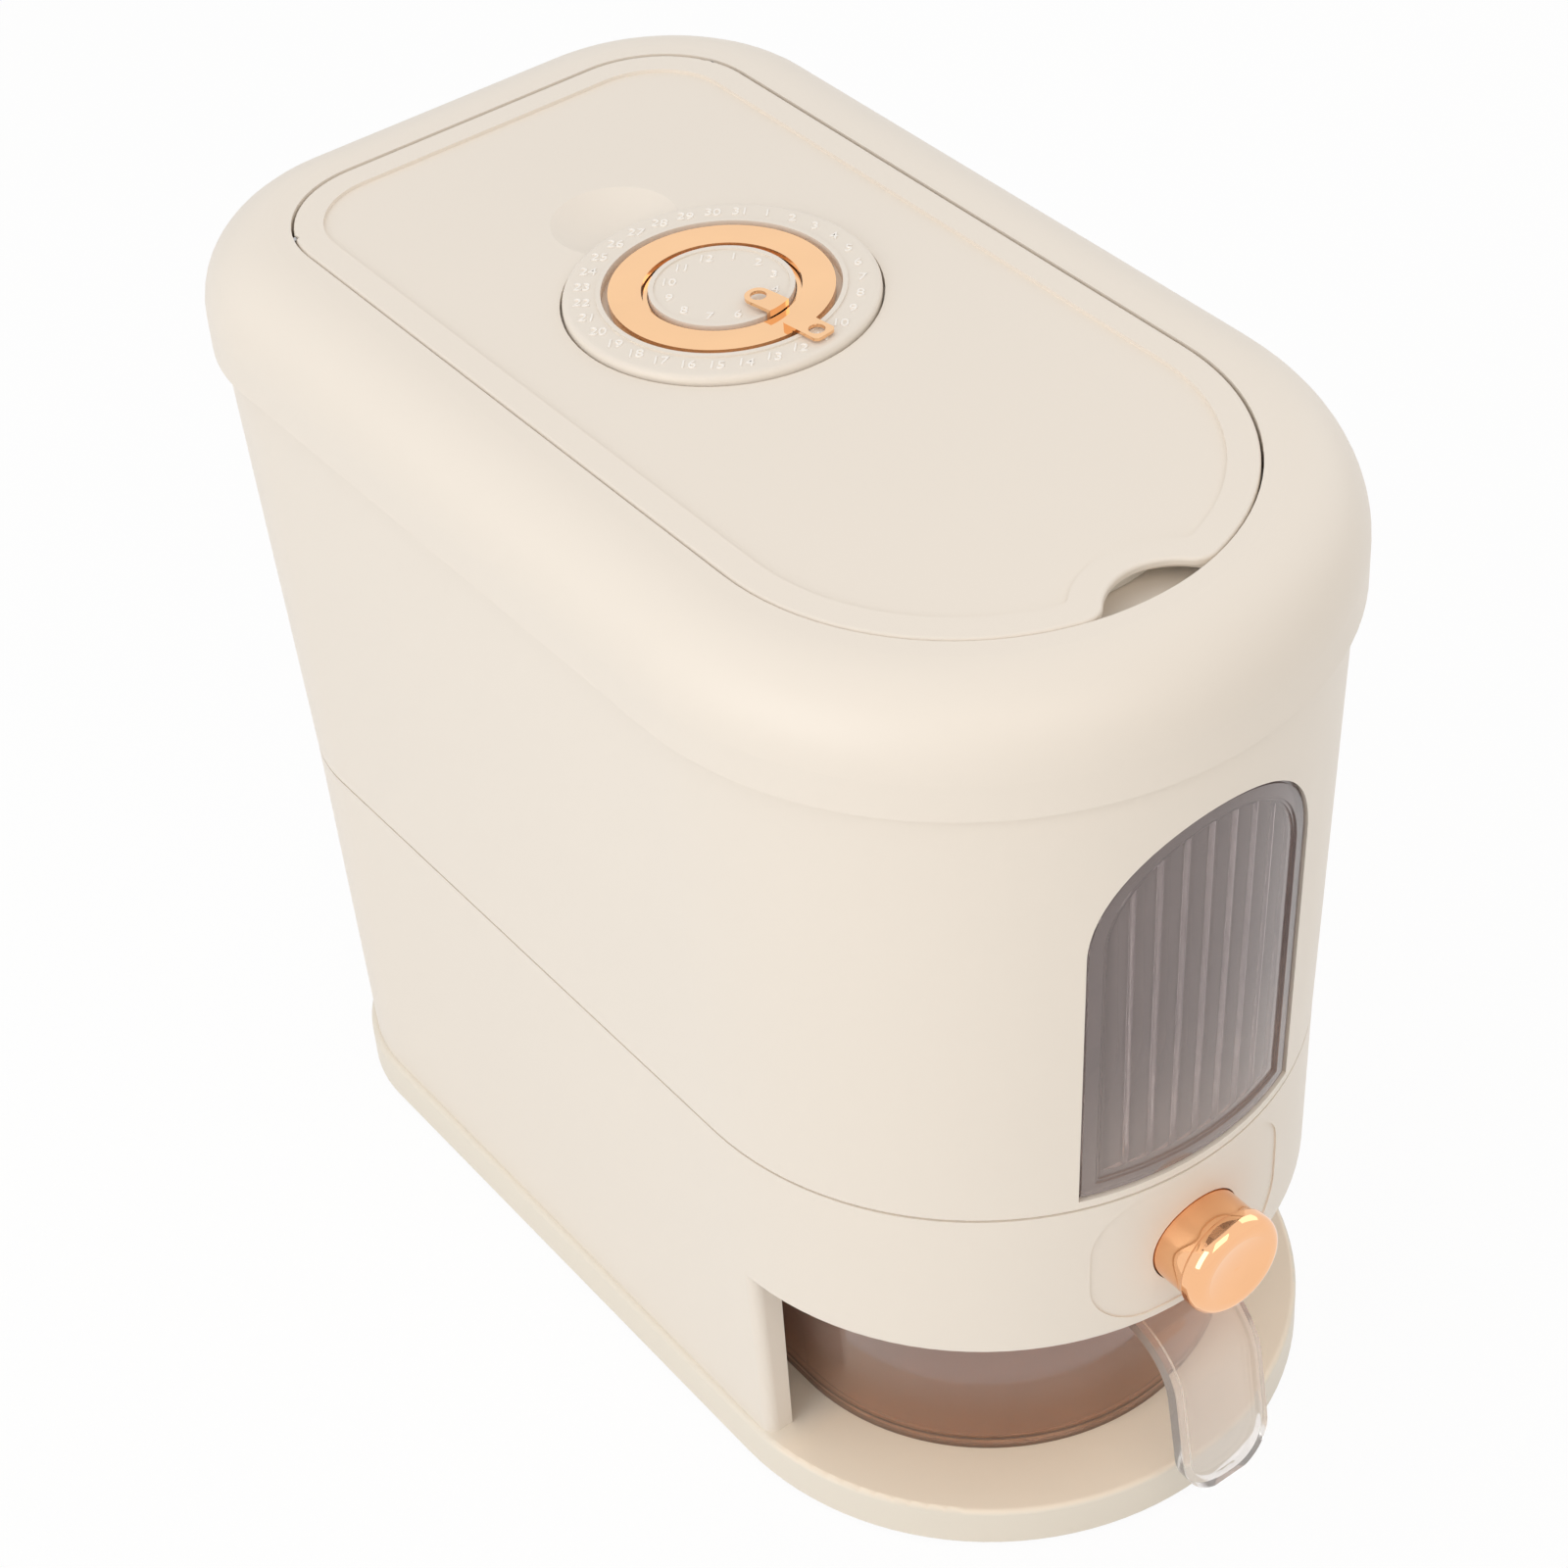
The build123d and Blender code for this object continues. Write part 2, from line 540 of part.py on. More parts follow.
def gate_housing():
    """Guide for the shutter, with the spout below and the spring's bracket in front."""
    roof_z = GATE_TOP - GATE_PLATE
    floor_z = GATE_Z - GATE_PLATE
    front = BRACKET_Y - WALL
    housing = box(-GATE_HALF, GATE_HALF, front, GATE_BACK_Y, floor_z, GATE_Z)
    for side in (-1, 1):
        inner = side * (SHUTTER_HALF + SLIDE)
        outer = side * GATE_HALF
        x0, x1 = min(inner, outer), max(inner, outer)
        housing += box(x0, x1, front, GATE_BACK_Y, CEILING_TOP, GATE_Z)
        housing += box(x0, x1, GATE_FRONT_Y, GATE_BACK_Y, GATE_Z, GATE_TOP)
    housing += box(-GATE_HALF, GATE_HALF, GATE_FRONT_Y, GATE_BACK_Y, roof_z, GATE_TOP)
    spout_y = (THROAT_Y - WALL, THROAT_Y + THROAT_LONG + WALL)
    spout_half = THROAT_HALF + WALL
    housing += box(-spout_half, spout_half, *spout_y, CEILING_Z - SPOUT_DOWN, GATE_Z)
    slot_y = (THROAT_Y, THROAT_Y + THROAT_LONG)
    housing -= box(-THROAT_HALF, THROAT_HALF, *slot_y, CEILING_Z - SPOUT_DOWN, GATE_TOP)
    bracket_half = SPRING_R + 3 * SPRING_WIRE
    bracket = box(-bracket_half, bracket_half, BRACKET_Y, BRACKET_Y + WALL, GATE_Z, BUTTON_Z)
    bracket += bar_y(bracket_half, 0, BUTTON_Z, BRACKET_Y, BRACKET_Y + WALL)
    bracket -= bar_y(ROD_R + SLIDE, 0, BUTTON_Z, BRACKET_Y, BRACKET_Y + WALL)
    housing += bracket
    for x, y in gate_screw_places():
        housing -= disc(SCREW_R, x, y, GATE_TOP + FLANGE_T - SCREW_LEN, GATE_TOP)
    return housing


def shutter_plate():
    """Sliding plate whose slot comes under the throat when the button is pressed."""
    z0 = GATE_Z + SLIDE
    plate = box(-SHUTTER_HALF, SHUTTER_HALF, TAB_Y, GATE_BACK_Y - TRAVEL, z0, z0 + GATE_T)
    tab_half = ROD_R + 5 * FIT
    plate += box(-tab_half, tab_half, TAB_Y, TAB_Y + WALL, z0, BUTTON_Z)
    plate += bar_y(tab_half, 0, BUTTON_Z, TAB_Y, TAB_Y + WALL)
    plate -= bar_y(ROD_R + RUN, 0, BUTTON_Z, TAB_Y, TAB_Y + WALL)
    slot_y = (THROAT_Y - TRAVEL, THROAT_Y + THROAT_LONG - TRAVEL)
    return plate - box(-THROAT_HALF, THROAT_HALF, *slot_y, z0, z0 + GATE_T)


def push_rod():
    """Round rod from the button's barrel to the shutter."""
    rod = bar_y(ROD_R, 0, BUTTON_Z, BARREL_BACK_Y - WALL, TAB_Y + WALL)
    return chamfer(rod.edges().group_by(Axis.Y)[-1], SLIDE)


def button_barrel():
    """Bright tube of the button, closed behind and bored for the rod."""
    length = BARREL_IN + BARREL_OUT
    tube = bar_y(BARREL_R, 0, BUTTON_Z, BARREL_BACK_Y - length, BARREL_BACK_Y)
    tube -= bar_y(BARREL_R - WALL, 0, BUTTON_Z, BARREL_BACK_Y - length, BARREL_BACK_Y - WALL)
    return tube - bar_y(ROD_R + RUN, 0, BUTTON_Z, BARREL_BACK_Y - WALL, BARREL_BACK_Y)


def button_cap():
    """Rounded cap, wider than the barrel, with a dished face and a spigot into the barrel."""
    shoulder = CAP_FLARE * (1 - 1 / sqrt(2))
    belly = CAP_T - CAP_CROWN
    turn = CAP_CROWN / sqrt(2)
    land = CAP_R - CAP_CROWN
    dish = land - CAP_LAND
    ball = (dish ** 2 + CAP_DISH ** 2) / (2 * CAP_DISH)
    middle = CAP_T - CAP_DISH + ball - sqrt(ball ** 2 - dish ** 2 / 4)
    edges = [
        Line((0, 0), (BARREL_R, 0)),
        ThreePointArc((BARREL_R, 0), (CAP_R - shoulder, shoulder), (CAP_R, CAP_FLARE)),
        Line((CAP_R, CAP_FLARE), (CAP_R, belly)),
        ThreePointArc((CAP_R, belly), (land + turn, belly + turn), (land, CAP_T)),
        Line((land, CAP_T), (dish, CAP_T)),
        ThreePointArc((dish, CAP_T), (dish / 2, middle), (0, CAP_T - CAP_DISH)),
        Line((0, CAP_T - CAP_DISH), (0, 0)),
    ]
    cap = spin_front(make_face(edges), SKIRT_Y - BARREL_OUT, BUTTON_Z)
    spigot_r = BARREL_R - WALL - RUN
    return cap + bar_y(spigot_r, 0, BUTTON_Z, SKIRT_Y - BARREL_OUT, SKIRT_Y - BARREL_OUT + WALL)


def button_sleeve():
    """Guide tube behind the skirt for the button's barrel."""
    back = FRONT_Y - sqrt((SKIRT_HALF - WALL) ** 2 - (BARREL_R + SLEEVE_T) ** 2) + SLEEVE_LEN
    tube = bar_y(SLEEVE_R, 0, BUTTON_Z, SKIRT_Y, back)
    tube -= bar_y(BARREL_R + SLIDE, 0, BUTTON_Z, SKIRT_Y, back)
    return tube & lower_core(WALL, CEILING_TOP, SEAM_Z)


def helix_point(turn, start, rise):
    """Point and direction on the spring's middle line, after a number of turns."""
    angle = 2 * pi * turn
    point = Vector(SPRING_R * cos(angle), start + rise * turn, BUTTON_Z + SPRING_R * sin(angle))
    heading = Vector(-2 * pi * SPRING_R * sin(angle), rise, 2 * pi * SPRING_R * cos(angle))
    return point, heading.normalized()


def biarc(first, second):
    """Two arcs that join two points and follow the direction at each."""
    (p0, t0), (p1, t1) = first, second
    span = p1 - p0
    spread = 2 * (1 - t0.dot(t1))
    lean = span.dot(t0 + t1)
    arm = (sqrt(lean * lean + spread * span.dot(span)) - lean) / spread
    joint = (p0 + p1 + (t0 - t1) * arm) * 0.5
    middle = (p1 - t1 * arm - p0 - t0 * arm).normalized()
    return [TangentArc(p0, joint, tangent=t0), TangentArc(joint, p1, tangent=middle)]


def return_spring():
    """Compression spring between the bracket and the barrel, one unbroken tube."""
    start = BARREL_BACK_Y + SPRING_WIRE + FIT / 2
    rise = (SPRING_SPACE - 2 * SPRING_WIRE - FIT) / SPRING_TURNS
    quarters = [helix_point(index / 4, start, rise) for index in range(4 * SPRING_TURNS + 1)]
    edges = [edge for pair in zip(quarters, quarters[1:]) for edge in biarc(*pair)]
    begin, heading = quarters[0]
    tube = sweep(Plane(begin, z_dir=heading) * Circle(SPRING_WIRE), path=Wire(edges))
    samples = [helix_point(index / 24, start, rise)[0] for index in range(24 * SPRING_TURNS + 1)]
    apart = min((a - b).length for i, a in enumerate(samples) for b in samples[i + 12:])
    print(f"return_spring: least gap to itself {apart - 2 * SPRING_WIRE:.2f} mm")
    return tube


def hinge_edge_x():
    """Half width of the lid at the hinge axis."""
    corner = LID_HALF - CORNER_X
    return CORNER_X + sqrt(corner ** 2 - max(corner - HINGE_IN, 0) ** 2)


def hinge_trough(grow, top):
    """Space behind the mouth, up to a level, that the lid's tail turns down into."""
    front = HINGE_Y - LID_T + HINGE_DEEP - LID_GAP - 3 * FIT - grow
    low = HINGE_Z - HINGE_IN - LID_GAP - grow
    room = box(-RIM_HALF, RIM_HALF, front, LID_BACK_Y + RIM_HALF, low, top)
    return room & prism(LID_HALF + LID_GAP + grow, low, top)


def pin_bars(radius, inner, outer):
    """Two bars on the hinge axis, between two distances from the lid's edge there."""
    edge = hinge_edge_x()
    right = bar_x(radius, HINGE_Y, HINGE_Z, edge + inner, edge + outer)
    left = bar_x(radius, HINGE_Y, HINGE_Z, -edge - outer, -edge - inner)
    return [right, left]


def top_rim():
    """Rounded top moulding, open for the lid, with a boss for each hinge pin."""
    rim = prism(RIM_HALF, RIM_Z, LID_Z)
    rim = fillet(rim.edges().group_by(Axis.Z)[-1], RIM_ROUND)
    hollow = prism(RIM_HALF - WALL, RIM_Z, LID_Z - WALL)
    rim -= fillet(hollow.edges().group_by(Axis.Z)[-1], RIM_ROUND - WALL)
    reach = PIN_LEN - PIN_IN_LID
    for boss in pin_bars(PIN_BOSS_R, -PIN_IN_LID, reach + WALL):
        rim += boss & prism(RIM_HALF - WALL, RIM_Z, LID_Z - FIT)
    rim -= prism(LID_HALF + LID_GAP, RIM_Z, LID_Z)
    for bore in pin_bars(PIN_R + RUN / 2, -PIN_IN_LID, reach):
        rim -= bore
    return rim


def lid_well():
    """Tub under the lid: wall, ledge for the seal, collar of the mouth, trough for the lid's tail."""
    top = LID_Z - WALL
    tub = prism(LID_HALF + LID_GAP + WALL, LEDGE_Z - WALL, top)
    tub += mouth(WALL, RIM_Z, LEDGE_Z)
    tub += hinge_trough(WALL, top)
    tub -= prism(LID_HALF + LID_GAP, LEDGE_Z, top)
    tub -= hinge_trough(0, top)
    tub -= mouth(0, RIM_Z, top)
    for boss in pin_bars(PIN_BOSS_R + FIT / 2, -PIN_IN_LID, PIN_LEN):
        tub -= boss
    return tub


def hinge_pins():
    """Two short pins, fast in the rim, that the lid turns on."""
    return Compound(children=pin_bars(PIN_R, -PIN_IN_LID, PIN_LEN - PIN_IN_LID))


def notch_circle():
    """Where the middle of the finger notch's arc lies along Y, and its radius."""
    radius = (NOTCH_HALF ** 2 + NOTCH_DEEP ** 2) / (2 * NOTCH_DEEP)
    return FRONT_Y - LID_HALF + NOTCH_DEEP - radius, radius


def lid_face(inset, corner_r, z):
    """Lid outline with the finger notch in front, drawn in by an inset."""
    middle, radius = notch_circle()
    face = plan(LID_HALF - inset, z) - Pos(0, middle, z) * Circle(radius + inset)
    return fillet(face.vertices().sort_by(Axis.Y)[:2], corner_r)


def lid():
    """Hinged lid: raised border, sunk panel, finger notch, dial seat and sealing plug."""
    under = LID_Z - LID_T
    plate = extrude(lid_face(0, NOTCH_R, under), LID_T, dir=UP)
    plate = fillet(plate.edges().group_by(Axis.Z)[-1], LID_EDGE_R)
    low_edges = plate.edges().group_by(Axis.Z)[0]
    plate = fillet([edge for edge in low_edges if edge.center().Y > CORNER_Y + 1], LID_T / 2 - LID_EDGE_R)
    notch_y, notch_r = notch_circle()
    plate -= disc(notch_r + NOTCH_UNDER, 0, notch_y, under, LID_Z - NOTCH_LIP)
    sunk = extrude(lid_face(LID_BORDER, NOTCH_R / 3, LID_Z - LID_SINK), LID_SINK, dir=UP)
    plate -= sunk
    skin_z = LID_Z - LID_SINK - LID_SKIN
    inner = -2 * FIT - PLUG_T
    plate -= mouth(inner, under, skin_z)
    plug_z = (under - PLUG_H, under + LID_EDGE_R)
    plate += mouth(-2 * FIT, *plug_z) - mouth(inner, *plug_z)
    plate += disc(DIAL_R + LID_GAP + WALL, 0, DIAL_Y, SEAT_Z - WALL, LID_Z - LID_SINK - WALL / 2)
    scoop = Pos(0, DIAL_Y + SCOOP_OFF, LID_Z - LID_SINK - SCOOP_DEEP + SCOOP_R)
    plate += (scoop * Sphere(SCOOP_R + LID_SKIN)) & mouth(inner, under - WALL, skin_z + LID_EDGE_R)
    plate -= scoop * Sphere(SCOOP_R)
    plate -= disc(DIAL_R + LID_GAP, 0, DIAL_Y, SEAT_Z, LID_Z + LID_T)
    plate -= disc(DIAL_R - DIAL_FLANGE, 0, DIAL_Y, under - PLUG_H, LID_Z)
    for bore in pin_bars(PIN_R + RUN, -PIN_IN_LID - FIT, WALL):
        plate -= bore
    edge = hinge_edge_x()
    for x0, x1 in ((edge - SLIDE, edge + LID_T), (-edge - LID_T, SLIDE - edge)):
        plate -= box(x0, x1, HINGE_Y - HINGE_RELIEF, HINGE_Y + HINGE_RELIEF, under, LID_Z)
    return plate


def lid_seal():
    """Soft ring round the plug that closes on the ledge."""
    low = LEDGE_Z + FIT
    band = mouth(2 * FIT + SEAL_W, low, LID_Z - LID_T) - mouth(2 * FIT, low, LID_Z - LID_T)
    return fillet(band.edges().group_by(Axis.Z)[0], SEAL_W / 8)


def dial_plate():
    """Turned dial: rounded edge, a bead, a sunk track for the day ring and a seat for the hub."""
    track_z = RING_PROUD - RING_T - FIT
    bead_in = RING_OUT + TRACK_GAP
    points = [
        (DIAL_R - DIAL_EDGE_R, 0), (bead_in + DIAL_BEAD, 0), (bead_in + DIAL_BEAD, DIAL_BEAD_H),
        (bead_in, DIAL_BEAD_H), (bead_in, track_z), (HUB_R + RUN, track_z), (HUB_R + RUN, -DIAL_T),
        (DIAL_R, -DIAL_T), (DIAL_R, -DIAL_EDGE_R),
    ]
    turn = DIAL_EDGE_R * (1 - 1 / sqrt(2))
    edges = [Line(a, b) for a, b in zip(points, points[1:])]
    edges.append(ThreePointArc(points[-1], (DIAL_R - turn, -turn), points[0]))
    return spin_up(make_face(edges), DIAL_Z)


def month_disc():
    """Fixed middle disc of the dial with a bead round it."""
    points = [
        (0, -DIAL_T), (HUB_R, -DIAL_T), (HUB_R, DIAL_BEAD_H),
        (HUB_R - DIAL_BEAD, DIAL_BEAD_H), (HUB_R - DIAL_BEAD, 0), (0, 0),
    ]
    return spin_up(outline(points), DIAL_Z)


def tab(root, reach, angle, z0, z1, corner):
    """Flat finger with rounded corners and a round window, along one radius."""
    way = 1 if reach > root else -1
    begin = root - way * corner
    face = Pos((begin + reach) / 2, 0) * RectangleRounded(abs(reach - begin), TAB_W, corner)
    face -= Pos(reach - way * TAB_W / 2, 0) * Circle(TAB_HOLE_R)
    return Pos(0, DIAL_Y, z0) * Rot(Z=angle) * extrude(face, z1 - z0)


def day_ring():
    """Bright ring that turns in the track and carries the day tab over the bead."""
    band_z = DIAL_Z + RING_PROUD
    low_z = band_z - RING_T
    band = disc(RING_OUT, 0, DIAL_Y, low_z, band_z) - disc(RING_IN, 0, DIAL_Y, low_z, band_z)
    tab_z = DIAL_Z + DIAL_BEAD_H + FIT
    shape = (RING_OUT - DAY_TAB_ROOT, DAY_TAB_REACH, DAY_TAB_ANGLE)
    foot = tab(*shape, band_z - TAB_T, tab_z + TAB_T, DAY_TAB_CORNER)
    foot &= disc(RING_OUT, 0, DIAL_Y, band_z - TAB_T, tab_z + TAB_T)
    return band + foot + tab(*shape, tab_z, tab_z + TAB_T, DAY_TAB_CORNER)


def month_pointer():
    """Thin bright ring in the gap round the middle disc, with a tab bent up and over it."""
    foot_z = DIAL_Z + RING_PROUD - RING_T
    top_z = DIAL_Z + DIAL_BEAD_H + MONTH_RISE
    outer = RING_IN - SLIDE
    inner = HUB_R + SLIDE
    hoop_z = foot_z + HOOP_T
    hoop = disc(outer, 0, DIAL_Y, foot_z, hoop_z) - disc(inner, 0, DIAL_Y, foot_z, hoop_z)
    leg = disc(outer, 0, DIAL_Y, foot_z, top_z) - disc(inner, 0, DIAL_Y, foot_z, top_z)
    way = Pos(0, DIAL_Y, top_z) * Rot(Z=MONTH_TAB_ANGLE)
    leg &= way * Pos(outer / 2, 0, 0) * Box(outer + TAB_W, TAB_W, RIM_H)
    finger = tab(outer, MONTH_TAB_REACH, MONTH_TAB_ANGLE, top_z - TAB_T, top_z, MONTH_TAB_CORNER)
    finger &= disc(outer, 0, DIAL_Y, top_z - TAB_T, top_z)
    return hoop + leg + finger


def desiccant_cup():
    """Slotted cup for a drying sachet, hung by its flange in the lid and covered by the dial."""
    top = SEAT_Z + CARTRIDGE_LIP
    low = top - CARTRIDGE_H
    cup = disc(CARTRIDGE_R, 0, DIAL_Y, low, top) + disc(DIAL_R, 0, DIAL_Y, SEAT_Z, top)
    cup -= disc(CARTRIDGE_R - CARTRIDGE_T, 0, DIAL_Y, low + CARTRIDGE_T, top)
    step = 2 * (CARTRIDGE_R - 3 * CARTRIDGE_T) / CARTRIDGE_SLOTS
    for index in range(CARTRIDGE_SLOTS):
        x = (index + 0.5 - CARTRIDGE_SLOTS / 2) * step
        reach = sqrt((CARTRIDGE_R - 3 * CARTRIDGE_T) ** 2 - x * x)
        cup -= box(x - step / 4, x + step / 4, DIAL_Y - reach, DIAL_Y + reach, low, low + CARTRIDGE_T)
    return cup


def cup_face(half, z):
    """Outline of the measuring cup at one half width."""
    back = FRONT_Y + CUP_BACK + half - CUP_HALF
    corner = CUP_CORNER + half - CUP_HALF
    turn = corner * (1 - 1 / sqrt(2))
    edges = [
        ThreePointArc((-half, FRONT_Y), (0, FRONT_Y - half), (half, FRONT_Y)),
        Line((half, FRONT_Y), (half, back - corner)),
        ThreePointArc((half, back - corner), (half - turn, back - turn), (half - corner, back)),
        Line((half - corner, back), (corner - half, back)),
        ThreePointArc((corner - half, back), (turn - half, back - turn), (-half, back - corner)),
        Line((-half, back - corner), (-half, FRONT_Y)),
    ]
    return Pos(0, 0, z) * make_face(edges)


def handle_strip(inside, outside):
    """Side view of the handle between two offsets from its middle line, and its lowest level."""
    first = radians(HANDLE_TILT)
    last = radians(HANDLE_TILT + HANDLE_TURN)
    start_y = FRONT_Y - CUP_HALF - CUP_FLARE + CUP_T
    start_z = CUP_Z + CUP_H - HANDLE_DROP
    centre_y = start_y - HANDLE_RUN * cos(first) + HANDLE_R * sin(first)
    centre_z = start_z - HANDLE_RUN * sin(first) - HANDLE_R * cos(first)

    def side(offset):
        reach = HANDLE_R + offset
        turns = (first, (first + last) / 2, last)
        arc = [(centre_y - reach * sin(a), centre_z + reach * cos(a)) for a in turns]
        root = (arc[0][0] + HANDLE_RUN * cos(first), arc[0][1] + HANDLE_RUN * sin(first))
        tip = (arc[2][0] - HANDLE_LEN * cos(last), arc[2][1] - HANDLE_LEN * sin(last))
        return root, arc, tip

    root_in, arc_in, tip_in = side(inside)
    root_out, arc_out, tip_out = side(outside)
    edges = [
        Line(root_in, arc_in[0]), ThreePointArc(*arc_in), Line(arc_in[2], tip_in), Line(tip_in, tip_out),
        Line(tip_out, arc_out[2]), ThreePointArc(*reversed(arc_out)), Line(arc_out[0], root_out),
        Line(root_out, root_in),
    ]
    face = Pos(-HANDLE_W / 2, 0, 0) * (Plane.YZ * make_face(edges))
    return extrude(face, HANDLE_W, dir=(1, 0, 0)), min(tip_in[1], tip_out[1])


def handle_front(inset, tip_z):
    """Front view of the handle, round at the tip, as a prism along Y."""
    half = HANDLE_W / 2 - inset
    high = CUP_Z + CUP_H + HANDLE_R
    low = tip_z + inset
    face = Pos(0, (low + high) / 2) * RectangleRounded(2 * half, high - low, HANDLE_TIP_R - inset)
    reach = SKIRT_HALF + HANDLE_R * 2
    return extrude(Pos(0, FRONT_Y, 0) * (Plane.XZ * face), reach, dir=(0, -1, 0))


def measuring_cup():
    """Clear round-fronted cup with a foot and a curved handle that hangs over the base's edge."""
    mouth = CUP_Z + CUP_H
    cup = loft([cup_face(CUP_HALF, CUP_Z), cup_face(CUP_HALF + CUP_FLARE, mouth)], ruled=True)
    floor = CUP_Z + CUP_FOOT + CUP_FLOOR
    lean = CUP_FLARE / CUP_H
    hollow = loft(
        [
            cup_face(CUP_HALF - CUP_T + lean * (floor - CUP_Z), floor),
            cup_face(CUP_HALF - CUP_T + CUP_FLARE, mouth),
        ],
        ruled=True,
    )
    strip, tip_z = handle_strip(-HANDLE_T / 2, HANDLE_T / 2)
    bead, _ = handle_strip(0, HANDLE_T / 2 + HANDLE_EDGE)
    handle = strip & handle_front(0, tip_z)
    handle += bead & (handle_front(0, tip_z) - handle_front(HANDLE_EDGE_W, tip_z))
    cup += handle
    cup -= hollow
    recess = extrude(cup_face(CUP_HALF - 2 * CUP_T, CUP_Z), CUP_FOOT, dir=UP)
    band = CUP_Z + CUP_BAND
    groove = extrude(cup_face(CUP_HALF + CUP_T, band), SLIDE, dir=UP)
    groove -= extrude(cup_face(CUP_HALF + lean * CUP_BAND - SLIDE, band), SLIDE, dir=UP)
    return cup - recess - groove


PARTS = {
    "base_plate": base_plate,
    "rubber_feet": rubber_feet,
    "base_screws": base_screws,
    "lower_body": lower_body,
    "hopper_shell": hopper_shell,
    "view_window": view_window,
    "hopper_funnel": hopper_funnel,
    "gate_housing": gate_housing,
    "gate_screws": gate_screws,
    "shutter_plate": shutter_plate,
    "push_rod": push_rod,
    "button_barrel": button_barrel,
    "button_cap": button_cap,
    "button_sleeve": button_sleeve,
    "return_spring": return_spring,
    "top_rim": top_rim,
    "lid_well": lid_well,
    "hinge_pins": hinge_pins,
    "lid": lid,
    "lid_seal": lid_seal,
    "dial_plate": dial_plate,
    "month_disc": month_disc,
    "day_ring": day_ring,
    "month_pointer": month_pointer,
    "desiccant_cup": desiccant_cup,
    "measuring_cup": measuring_cup,
}

for name, make in PARTS.items():
    export_step(make(), f"parts/{name}.step")
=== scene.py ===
"""Finishes of a counter-top rice dispenser: satin cream mouldings, bright rose-gold fittings,
a smoky window, a clear measuring cup and a date dial with raised numbers."""
import json
from math import cos, pi, radians, sin

import bmesh
import bpy
from mathutils import Matrix, Vector

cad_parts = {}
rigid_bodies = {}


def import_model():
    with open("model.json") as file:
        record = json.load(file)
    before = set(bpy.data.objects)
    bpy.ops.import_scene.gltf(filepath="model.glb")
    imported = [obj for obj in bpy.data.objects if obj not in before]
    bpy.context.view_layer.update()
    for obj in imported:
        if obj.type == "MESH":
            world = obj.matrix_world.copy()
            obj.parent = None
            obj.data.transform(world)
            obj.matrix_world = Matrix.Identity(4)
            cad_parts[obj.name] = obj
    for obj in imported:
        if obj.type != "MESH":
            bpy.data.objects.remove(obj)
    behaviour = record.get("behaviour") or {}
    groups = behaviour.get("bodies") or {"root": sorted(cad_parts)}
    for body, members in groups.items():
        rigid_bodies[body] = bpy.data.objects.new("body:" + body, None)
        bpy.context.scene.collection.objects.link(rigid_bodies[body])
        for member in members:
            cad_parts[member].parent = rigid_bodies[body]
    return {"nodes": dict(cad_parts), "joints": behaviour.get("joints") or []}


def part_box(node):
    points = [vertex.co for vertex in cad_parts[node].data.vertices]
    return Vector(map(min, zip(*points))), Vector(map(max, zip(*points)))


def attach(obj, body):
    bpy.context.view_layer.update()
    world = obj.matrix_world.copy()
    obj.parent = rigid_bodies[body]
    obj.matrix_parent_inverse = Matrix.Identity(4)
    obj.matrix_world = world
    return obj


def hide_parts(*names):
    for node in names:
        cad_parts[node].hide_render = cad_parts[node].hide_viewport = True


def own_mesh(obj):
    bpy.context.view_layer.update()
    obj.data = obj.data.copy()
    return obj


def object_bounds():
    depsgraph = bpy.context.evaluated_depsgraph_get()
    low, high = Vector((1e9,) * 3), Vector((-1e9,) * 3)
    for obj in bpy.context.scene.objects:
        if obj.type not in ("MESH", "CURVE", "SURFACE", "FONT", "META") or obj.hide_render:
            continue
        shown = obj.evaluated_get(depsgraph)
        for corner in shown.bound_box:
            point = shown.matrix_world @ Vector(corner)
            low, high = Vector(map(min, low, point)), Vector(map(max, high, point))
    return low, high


for leftover in list(bpy.data.objects):
    bpy.data.objects.remove(leftover, do_unlink=True)
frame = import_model()
cad_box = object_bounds()

bl_info = {
    "name": "Rice dispenser finishes",
    "version": (1, 0, 0),
    "blender": (4, 5, 0),
    "location": "3D View > Sidebar > Dispenser",
    "description": "Materials, dial numbers and stage of a counter-top rice dispenser",
    "category": "Object",
}

BEAD_HEIGHT = 0.0005       # bead of the dial above its face
PAINTED_LIGHT_RISE = 0.0017         # height over which the painted light rises from the base plate's edge to its top face, where the cup stands
POST_BACK = 0.088          # posts of the bay behind the front of the lower body
PAINTED_LIGHT_REACH = 0.012          # length over which the painted light on the bay's floor grows, lighter and warmer, in front of the posts
HANDLE_LENGTH = 0.034      # handle of the measuring cup, from its front
CUP_SHADE_TOP = 0.032       # where the painted shade starts to turn the cup's wall browner, above its foot
CUP_SHADE_LOW = 0.012       # where the painted shade is brownest
DAYS = 31
MONTHS = 12
LETTER_SIZE = 1.38         # size of the lettering for a number of height 1
LETTER_UPRIGHT = 0.8       # share of a number's relief that has upright sides
LETTER_ROUND = 0.2         # share of a number's relief that is rounded
LETTER_THIN = 0.012        # how far a number's outline is drawn in, for a height of 1
GRAIN_DEPTH = 0.00006      # fine grain of moulded plastic
WAVE_DEPTH = 0.0004        # waviness of bright metal and clear plastic
CLOUD_MIDDLE = 0.5         # value that clouds swing about
WHITE = (1.0, 1.0, 1.0, 1.0)
FLOOR_REACH = 6.0          # from the middle of the floor to its edges
FLOOR_CELLS = 8
FLOOR_GLOW = 0.94          # share of plain white in the floor where it is looked at
SENSOR_WIDTH = 36.0        # of the camera, in millimetres
VIEW_NEAR = 0.01
VIEW_FAR = 50.0


def shade(red, green, blue):
    """Linear colour of a shade written as 0 to 255."""
    levels = [level / 255 for level in (red, green, blue)]
    return tuple(v / 12.92 if v <= 0.04045 else ((v + 0.055) / 1.055) ** 2.4 for v in levels)


